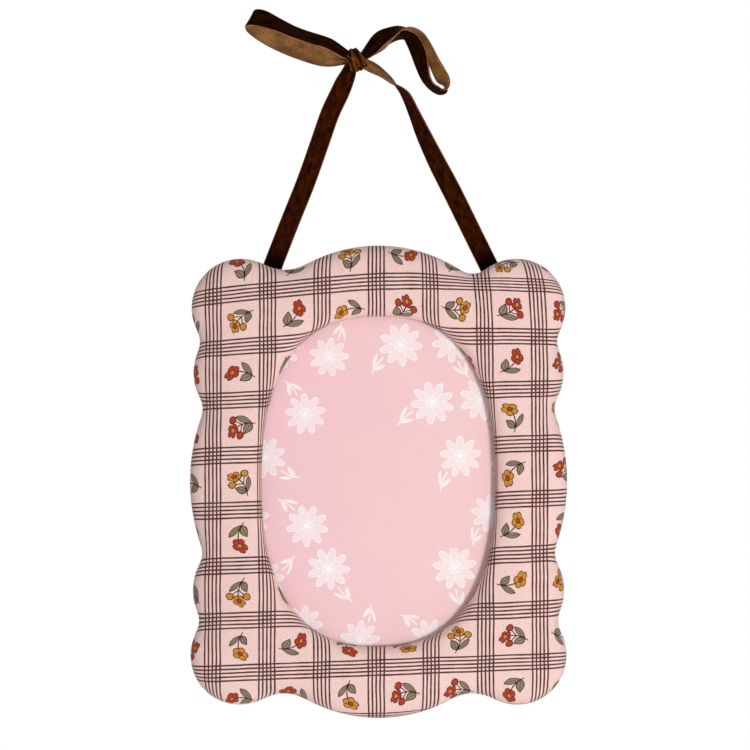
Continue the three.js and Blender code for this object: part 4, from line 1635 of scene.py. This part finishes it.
STRANDS = (
    Strand(Side.LEFT, -57.2 * MM, 60, (
        (0, 0, 0, 1), (0.2, 0.205, 1, 1), (0.402, 0.407, 2, 1), (0.56, 0.585, 3, 1), (0.699, 0.743, 4, 1),
        (0.818, 0.844, 6, 1), (0.863, 0.885, 10, 0.96), (0.917, 0.93, 18, 0.82), (0.955, 0.972, 26, 0.64),
        (0.98, 1.0, 30, 0.55),
    )),
    Strand(Side.RIGHT, 59.6 * MM, 90, (
        (0, 0, 0, 1), (0.137, 0.18, -4, 1), (0.273, 0.359, -10, 1), (0.389, 0.503, -26, 1),
        (0.497, 0.647, -44, 1), (0.562, 0.743, -58, 1), (0.621, 0.825, -68, 1), (0.679, 0.868, -88, 0.98),
        (0.72, 0.89, -104, 0.96), (0.76, 0.913, -112, 0.94), (0.803, 0.934, -118, 0.88),
        (0.848, 0.952, -132, 0.76), (0.891, 0.967, -146, 0.66), (0.945, 0.985, -150, 0.56),
        (0.98, 0.998, -152, 0.5),
    )),
)
LOOPS = (
    Loop(Side.LEFT, 58 * MM, 6.5 * MM, 1.1 * MM, 120, (
        (-0.05, 0.035, -0.2, 64, -6, 0.42), (-0.1, 0.055, -0.4, 66, -16, 0.5),
        (-0.16, 0.09, -0.62, 68, -28, 0.62), (-0.25, 0.137, -0.85, 70, -40, 0.8),
        (-0.4, 0.18, -1, 71, -45, 0.98), (-0.57, 0.235, -1.1, 70, -44, 1),
        (-0.75, 0.311, -1.15, 68, -34, 1), (-0.89, 0.363, -0.95, 64, -12, 1),
        (-0.97, 0.371, -0.5, 61, -5, 1), (-0.985, 0.35, 0.1, 61, -4, 1), (-0.95, 0.315, 0.7, 62, -3, 1),
        (-0.85, 0.25, 1.05, 66, 0, 1), (-0.68, 0.165, 1.15, 68, 2, 1), (-0.47, 0.086, 1.1, 70, 3, 1),
        (-0.3, 0.037, 0.9, 72, 3, 1), (-0.19, 0.014, 0.62, 74, 3, 0.82), (-0.11, 0.002, 0.35, 76, 3, 0.56),
        (-0.05, 0.0, 0.2, 78, 3, 0.42),
    )),
    Loop(Side.RIGHT, 46 * MM, 5 * MM, 0.0, 150, (
        (0.06, 0.02, -0.2, -70, 4, 0.45), (0.12, 0.06, -0.4, -66, 6, 0.6),
        (0.2, 0.135, -0.55, -58, 12, 0.82), (0.3, 0.245, -0.6, -50, 24, 0.97),
        (0.42, 0.315, -0.65, -46, 42, 1), (0.54, 0.365, -0.7, -40, 64, 1),
        (0.665, 0.355, -0.7, -10, 78, 1), (0.775, 0.28, -0.65, 28, 74, 1), (0.853, 0.15, -0.55, 38, 65, 1),
        (0.927, -0.01, -0.45, 40, 58, 1), (1.0, -0.155, -0.3, 42, 51, 1), (1.055, -0.265, -0.1, 48, 54, 1),
        (1.055, -0.342, 0.15, 66, 66, 1), (0.99, -0.36, 0.35, 84, 72, 1), (0.905, -0.31, 0.45, 52, 74, 1),
        (0.835, -0.21, 0.45, 20, 64, 1), (0.79, -0.065, 0.4, 8, 48, 1), (0.747, 0.095, 0.35, 16, 36, 1),
        (0.672, 0.24, 0.38, 42, 44, 1), (0.575, 0.3, 0.55, 72, 64, 1), (0.455, 0.25, 0.8, 104, 90, 1),
        (0.33, 0.165, 0.95, 118, 106, 0.86), (0.22, 0.095, 0.9, 120, 106, 0.66),
        (0.12, 0.045, 0.6, 120, 98, 0.48), (0.06, 0.02, 0.3, 120, 92, 0.44),
    )),
)


@dataclass(frozen=True)
class Station:
    """One place along a ribbon: its middle, way, direction across, width and the curl of its edges."""

    centre: np.ndarray
    way: np.ndarray
    across: np.ndarray
    width: float
    curl: float = 0.0


def smooth_rows(rows: np.ndarray, steps: int) -> np.ndarray:
    """Rows on a smooth curve through rows, whose first three columns are places.

    Args:
        rows: the rows to pass through.
        steps: how many stretches the whole way is cut into.

    Returns:
        One row more than the steps.
    """
    padded = np.vstack((2 * rows[0] - rows[1], rows, 2 * rows[-1] - rows[-2]))
    made = []
    for step in range(steps + 1):
        scaled = step / steps * (len(rows) - 1)
        low = min(int(scaled), len(rows) - 2)
        p = padded[low:low + 4]
        before, gap, after = np.maximum(np.linalg.norm(np.diff(p[:, :3], axis=0), axis=1) ** 0.5, 1e-5)
        middle = (p[2] - p[1]) / gap
        leave = ((p[1] - p[0]) / before - (p[2] - p[0]) / (before + gap) + middle) * gap
        arrive = (middle - (p[3] - p[1]) / (gap + after) + (p[3] - p[2]) / after) * gap
        t = scaled - low
        t2, t3 = t * t, t**3
        start, end = 2 * t3 - 3 * t2 + 1, 3 * t2 - 2 * t3
        made.append(start * p[1] + end * p[2] + (t3 - 2 * t2 + t) * leave + (t3 - t2) * arrive)
    return np.array(made)


@dataclass(frozen=True)
class KnotWrap:
    """Gathered ribbon wound round the loops and strands, with both ends tucked behind."""

    tilt: float = 27.0
    turns: float = 2.0
    steps: int = 120
    radius: float = 5.1 * MM
    growth: float = 1 * MM
    spread: float = 3.74 * MM
    sway: float = 0.5 * MM
    ripple: float = 0.2 * MM
    flatness: float = 0.92
    tucked: float = 0.6
    lean_out: float = 0.24
    lean_on: float = 0.12
    gathered: float = 0.7
    gathered_change: float = 0.04
    curl: float = 2.2 * MM

    def stations(self, middle: np.ndarray, ribbon: float) -> List[Station]:
        """Stations of the wrap.

        Args:
            middle: the knot's middle.
            ribbon: the ribbon's width.

        Returns:
            The stations.
        """
        tilt = math.radians(self.tilt)
        axis = np.array((math.cos(tilt), 0.0, math.sin(tilt)))
        up = np.array((-math.sin(tilt), 0.0, math.cos(tilt)))
        out = np.array((0.0, -self.flatness, 0.0))
        made = []
        for step in range(self.steps + 1):
            share = step / self.steps
            angle = FULL_TURN * (self.turns * share - 0.25)
            sine, cosine = math.sin(angle), math.cos(angle)
            tuck = min(1.0, 5 * share + self.tucked, 5 * (1 - share) + self.tucked)
            radius = (self.radius + self.growth * share) * tuck + self.ripple * math.sin(4 * angle + 1.0)
            along = self.spread * (share - 0.5) + self.sway * math.sin(angle + 0.6)
            radial = up * cosine + out * sine
            way = out * cosine - up * sine
            lean = axis + radial * self.lean_out * math.sin(angle * 1.5 + 0.4) + way * self.lean_on * cosine
            width = ribbon * (self.gathered + self.gathered_change * math.sin(angle * 2.0))
            centre = middle + axis * along + radial * radius
            made.append(Station(centre, way / np.linalg.norm(way), -lean, width, self.curl))
        return made


@dataclass
class VelvetRibbon:
    """Single-faced velvet ribbon: pile on one face, satin on the other, a bright selvedge on both edges."""

    finishes: Finishes
    wrap: KnotWrap = field(default_factory=KnotWrap)
    width: float = 10.4 * MM
    thickness: float = 0.9 * MM
    selvedge: float = 0.5 * MM
    pile_share: float = 0.94
    face_steps: int = 12
    pleats: float = 2.5
    pleat_most: float = 1.1 * MM
    pleat_phase: float = 0.4
    pleat_fade: float = 0.25
    width_shares: Row = (0.3, 1.02)
    grip: float = 14 * MM
    tuck: float = 3 * MM
    layer: float = 6.25 * MM
    entry_height: float = 116.6 * MM
    knot_across: float = -12.7 * MM
    knot_height: float = 228.7 * MM

    @property
    def knot_middle(self) -> np.ndarray:
        """The knot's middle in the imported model's frame."""
        return MIDDLE + (self.knot_across, self.layer, self.knot_height)

    def _section(self, width: float, curl: float) -> Tuple[np.ndarray, List[int]]:
        """The ribbon's cross-section, pleated where the ribbon is gathered to less than its own width.

        Args:
            width: the width that the ribbon takes up here.
            curl: how far its edges bend towards its back.

        Returns:
            Rows of the place across, the place out and the place across the flat ribbon, and the finish of
            the face after each row.
        """
        half = self.width / 2
        edge = 1 - self.selvedge / half
        back = [(share, -0.5) for share in np.linspace(1, -1, self.face_steps + 1)]
        pile = [(-share * edge * self.pile_share, 0.5) for share, _ in back]
        right = [(edge, 0.3), (edge, -0.08), (1.0, -0.15)]
        left = [(-share, out) for share, out in right[::-1]]
        marks = [1] * self.face_steps + [2] * 2 + [0] * (self.face_steps + 3) + [2] * 3
        gather = max(self.width / width - 1.0, 0.0)
        height = min(math.sqrt(gather) * width / (self.pleats * math.pi), self.pleat_most)
        height *= 0.5 if curl else 1.0
        section = []
        for share, out in back + left + pile + right:
            wave = math.sin(self.pleats * math.pi * share + self.pleat_phase)
            pleat = height * wave * (1 - self.pleat_fade * share)
            raised = out * self.thickness + pleat - curl * abs(share) ** 3
            section.append((share * width / 2, raised, share * half))
        return np.array(section), marks

    def _sweep(
        self,
        name: str,
        stations: Sequence[Station],
        node: str,
        finishes: Sequence[Material],
        hidden: float = -100 * MM,
    ) -> None:
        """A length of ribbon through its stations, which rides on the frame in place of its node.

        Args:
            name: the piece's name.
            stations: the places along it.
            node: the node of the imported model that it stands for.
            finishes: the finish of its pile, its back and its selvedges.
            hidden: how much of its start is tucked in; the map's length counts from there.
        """
        rows, maps = [], []
        marks: List[int] = []
        length = 0.0
        for index, station in enumerate(stations):
            if index:
                length += float(np.linalg.norm(station.centre - stations[index - 1].centre))
            face = np.cross(station.way, station.across)
            face /= np.linalg.norm(face)
            across = np.cross(face, station.way)
            across /= np.linalg.norm(across)
            section, marks = self._section(station.width, station.curl)
            rows.append(station.centre + across * section[:, :1] - face * section[:, 1:2])
            maps.append(np.stack((section[:, 2], np.full(len(section), length - hidden)), axis=1))
        piece = grid_piece(name, rows, finishes, maps=(Velvet.uv, maps), marks=marks)
        self._cap(piece)
        smooth(piece)
        declare(piece, node)
        LOG.info("%s: %.0f mm of ribbon", name, length / MM)

    @staticmethod
    def _cap(piece: Piece) -> None:
        """Closes both cut ends of a length of ribbon and makes its faces point outwards.

        Args:
            piece: the length.
        """
        select_only(piece)
        bpy.ops.object.mode_set(mode="EDIT")
        bpy.ops.mesh.select_all(action="DESELECT")
        bpy.ops.mesh.select_mode(type="EDGE")
        bpy.ops.mesh.select_non_manifold(extend=False)
        bpy.ops.mesh.edge_face_add()
        bpy.ops.mesh.select_all(action="SELECT")
        bpy.ops.mesh.normals_make_consistent(inside=False)
        bpy.ops.object.mode_set(mode="OBJECT")

    def _stations(self, table: Sequence[Sequence[float]], steps: int) -> List[Station]:
        """Stations along a smooth curve.

        Args:
            table: rows of a place, the direction across the ribbon and the share of its width.
            steps: how many stretches the curve is cut into.

        Returns:
            The stations.
        """
        rows = smooth_rows(np.array(table), steps)
        ways = unit_rows(np.gradient(rows[:, :3], axis=0))
        return [
            Station(row[:3], way, row[3:6], self.width * float(np.clip(row[6], *self.width_shares)))
            for row, way in zip(rows, ways)
        ]

    def build_strand(self, strand: Strand) -> None:
        """One hanging length, from its channel behind the front to the knot.

        Args:
            strand: its place and its rows.
        """
        across, up = self.knot_across - strand.entry, self.knot_height - self.entry_height
        entry = MIDDLE + (strand.entry, self.layer, self.entry_height)
        places = np.array([entry + (across * row[0], 0.0, up * row[1]) for row in strand.rows])
        start = places[1] - places[0]
        places = np.vstack((places[0] - start / np.linalg.norm(start) * self.grip, places))
        inwards = np.array((0.0, 1.0, 0.0))
        flats = unit_rows(np.cross(inwards, np.gradient(places, axis=0)))
        table = []
        for place, flat, row in zip(places, flats, (strand.rows[0], *strand.rows)):
            turn = math.radians(row[2])
            table.append([*place, *(flat * math.cos(turn) + inwards * math.sin(turn)), row[3]])
        side = strand.side.value
        finishes = (self.finishes.velvet, self.finishes.satin, self.finishes.shaded_selvedge)
        stations = self._stations(table, strand.steps)
        hidden = self.grip + self.tuck
        self._sweep(f"ribbon_{side}", stations, f"ribbon_strand_{side}", finishes, hidden=hidden)

    def build_loop(self, loop: Loop) -> None:
        """One loop of the bow.

        Args:
            loop: its size and its rows.
        """
        table = []
        for across, up, back, angle, tilt, width in loop.rows:
            raised = up * loop.reach + loop.lift * abs(across)
            place = self.knot_middle + (across * loop.reach, back * loop.depth, raised)
            turn, lean = math.radians(angle), math.radians(tilt)
            side = (math.cos(lean) * math.cos(turn), -math.sin(lean), math.cos(lean) * math.sin(turn))
            table.append([*place, *side, width])
        finishes = (self.finishes.loop_velvet, self.finishes.satin, self.finishes.selvedge)
        stations = self._stations(table, loop.steps)
        self._sweep(f"loop_{loop.side.value}", stations, f"bow_loop_{loop.side.value}", finishes)

    def build_knot(self) -> None:
        """The wrap of the knot."""
        finishes = (self.finishes.knot_velvet, self.finishes.satin, self.finishes.selvedge)
        stations = self.wrap.stations(self.knot_middle, self.width)
        self._sweep("bow_knot_wraps", stations, "bow_knot", finishes)

    def build(self) -> None:
        """The strands, the loops and the knot."""
        for strand in STRANDS:
            self.build_strand(strand)
        for loop in LOOPS:
            self.build_loop(loop)
        self.build_knot()


# Rigid pieces


@dataclass
class RigidPieces:
    """The picture pack, the boards and the hardware, which keep their own meshes."""

    finishes: Finishes
    boards: Tuple[str, ...] = ("front_board", "spacer_frame", "back_board")
    panels: Tuple[str, ...] = ("back_panel", "easel_leg")
    metal: Tuple[str, ...] = (
        "hinge_fixed_leaf", "hinge_moving_leaf", "hinge_pin", "panel_rivet_left", "panel_rivet_right",
        "leg_rivet_left", "leg_rivet_right",
    )
    corners: Tuple[str, ...] = ("top_left", "top_right", "bottom_left", "bottom_right")

    def dress(self) -> None:
        """Gives the nodes their finishes."""
        own_material(self.finishes.pane, "window_pane")
        own_material(self.finishes.card, "photo_insert")
        own_material(self.finishes.backing, "backing_card")
        own_material(self.finishes.board, *self.boards)
        own_material(self.finishes.panel, *self.panels)
        own_material(self.finishes.steel, *self.metal)
        for corner in self.corners:
            own_material(self.finishes.steel, f"turn_button_{corner}", f"turn_screw_{corner}")


# Studio


@dataclass(frozen=True)
class Lamp:
    """A square lamp: its name, its place, its size and its power in watts."""

    name: str
    place: Triple
    size: float
    power: float


@dataclass
class Studio:
    """Camera, lamps, white surroundings and a pale floor."""

    aim_across: float = 9.2 * MM
    aim_up: float = -163.2 * MM
    field_width: float = 403.9 * MM
    distance: float = 1.7
    pitch: float = 3.0
    face: float = 6 * MM
    sensor: float = 36.0
    floor_level: float = -0.62
    floor_size: float = 6.0
    ambient: float = 0.34
    white_near: float = 0.35
    white_per_metre: float = 0.65
    plain: Colour = (0.93, 0.93, 0.93)
    white: Colour = (1.0, 1.0, 1.0)
    lamps: Tuple[Lamp, ...] = (
        Lamp("key", (0.55, -1.35, -0.45), 0.2, 12.4),
        Lamp("fill", (-0.9, -1.8, 0.6), 1.4, 2.0),
        Lamp("back_light", (-0.6, 1.6, 0.5), 1.2, 17.0),
    )

    def _place_camera(self) -> None:
        """Sets a long lens in front of the frame, a little below its middle and looking up at it."""
        data = bpy.data.cameras.new("camera")
        data.sensor_width = self.sensor
        data.lens = self.sensor * (self.distance - self.face) / self.field_width
        data.clip_end = 20.0
        pitch = math.radians(self.pitch)
        back, down = self.distance * math.cos(pitch), self.distance * math.sin(pitch)
        camera = add_object("camera", data)
        camera.location = (self.aim_across, -back, self.aim_up - down)
        camera.rotation_euler = (math.radians(90) + pitch, 0, 0)
        bpy.context.scene.camera = camera

    def _place_lamp(self, lamp: Lamp) -> None:
        """Sets a lamp that looks at the frame.

        Args:
            lamp: its name, place, size and power.
        """
        data = bpy.data.lights.new(lamp.name, "AREA")
        data.size = lamp.size
        data.energy = lamp.power
        made = add_object(lamp.name, data)
        made.location = lamp.place
        aim = Vector((self.aim_across, 0, self.aim_up)) - Vector(lamp.place)
        made.rotation_euler = aim.to_track_quat("-Z", "Y").to_euler()

    def _make_world(self) -> None:
        """Gives the scene a white background and a weaker ambient light."""
        world = bpy.data.worlds.new("world")
        nodes = Nodes(world)
        strength = nodes.seen_directly() * (1.0 - self.ambient) + self.ambient
        background = nodes.node("ShaderNodeBackground", {"Color": self.white, "Strength": strength})
        nodes.node("ShaderNodeOutputWorld", {"Surface": background.outputs[0]})
        bpy.context.scene.world = world

    def _stage_material(self) -> Material:
        """Makes the floor matt to the light, and white to the camera except for the shadow at the frame.

        Returns:
            The material.
        """
        swatch = Swatch("studio_white")
        sockets = {"Base Color": self.plain, "Roughness": 0.9, "Specular IOR Level": 0.0}
        matt = swatch.node("ShaderNodeBsdfPrincipled", sockets)
        glow = swatch.node("ShaderNodeEmission", {"Color": self.white})
        x, y, _ = swatch.split(swatch.place(), 1.0)
        share = swatch.seen_directly() * span(x, y).clamped(self.white_per_metre, self.white_near)
        mixed = swatch.node("ShaderNodeMixShader", {0: share, 1: matt.outputs[0], 2: glow.outputs[0]})
        swatch.node("ShaderNodeOutputMaterial", {"Surface": mixed.outputs[0]})
        return swatch.material

    def _make_floor(self) -> None:
        """Lays the floor under the frame."""
        bpy.ops.object.select_all(action="DESELECT")
        bpy.ops.mesh.primitive_plane_add(size=self.floor_size, location=(0, 0, self.floor_level))
        floor = bpy.context.active_object
        floor.name = "floor"
        bpy.ops.object.transform_apply(location=True, rotation=True, scale=True)
        floor.data.materials.append(self._stage_material())
        floor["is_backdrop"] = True

    def build(self) -> None:
        """Camera, soft light that is a little stronger from the lower right, and floor."""
        self._place_camera()
        for lamp in self.lamps:
            self._place_lamp(lamp)
        self._make_world()
        self._make_floor()
        bpy.context.scene.view_settings.view_transform = "Standard"


def main() -> None:
    """Builds and dresses every sub-assembly in order."""
    logging.basicConfig(level=logging.INFO, format="%(message)s")
    Studio().build()
    finishes = Finishes()
    VelvetRibbon(finishes).build()
    front = PaddedFront(finishes)
    front.build_wadding()
    front.build_cover()
    BackLining(finishes).build()
    RigidPieces(finishes).dress()
    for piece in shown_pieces():
        LOG.info("piece %s", piece.name)


if __name__ == "__main__":
    main()
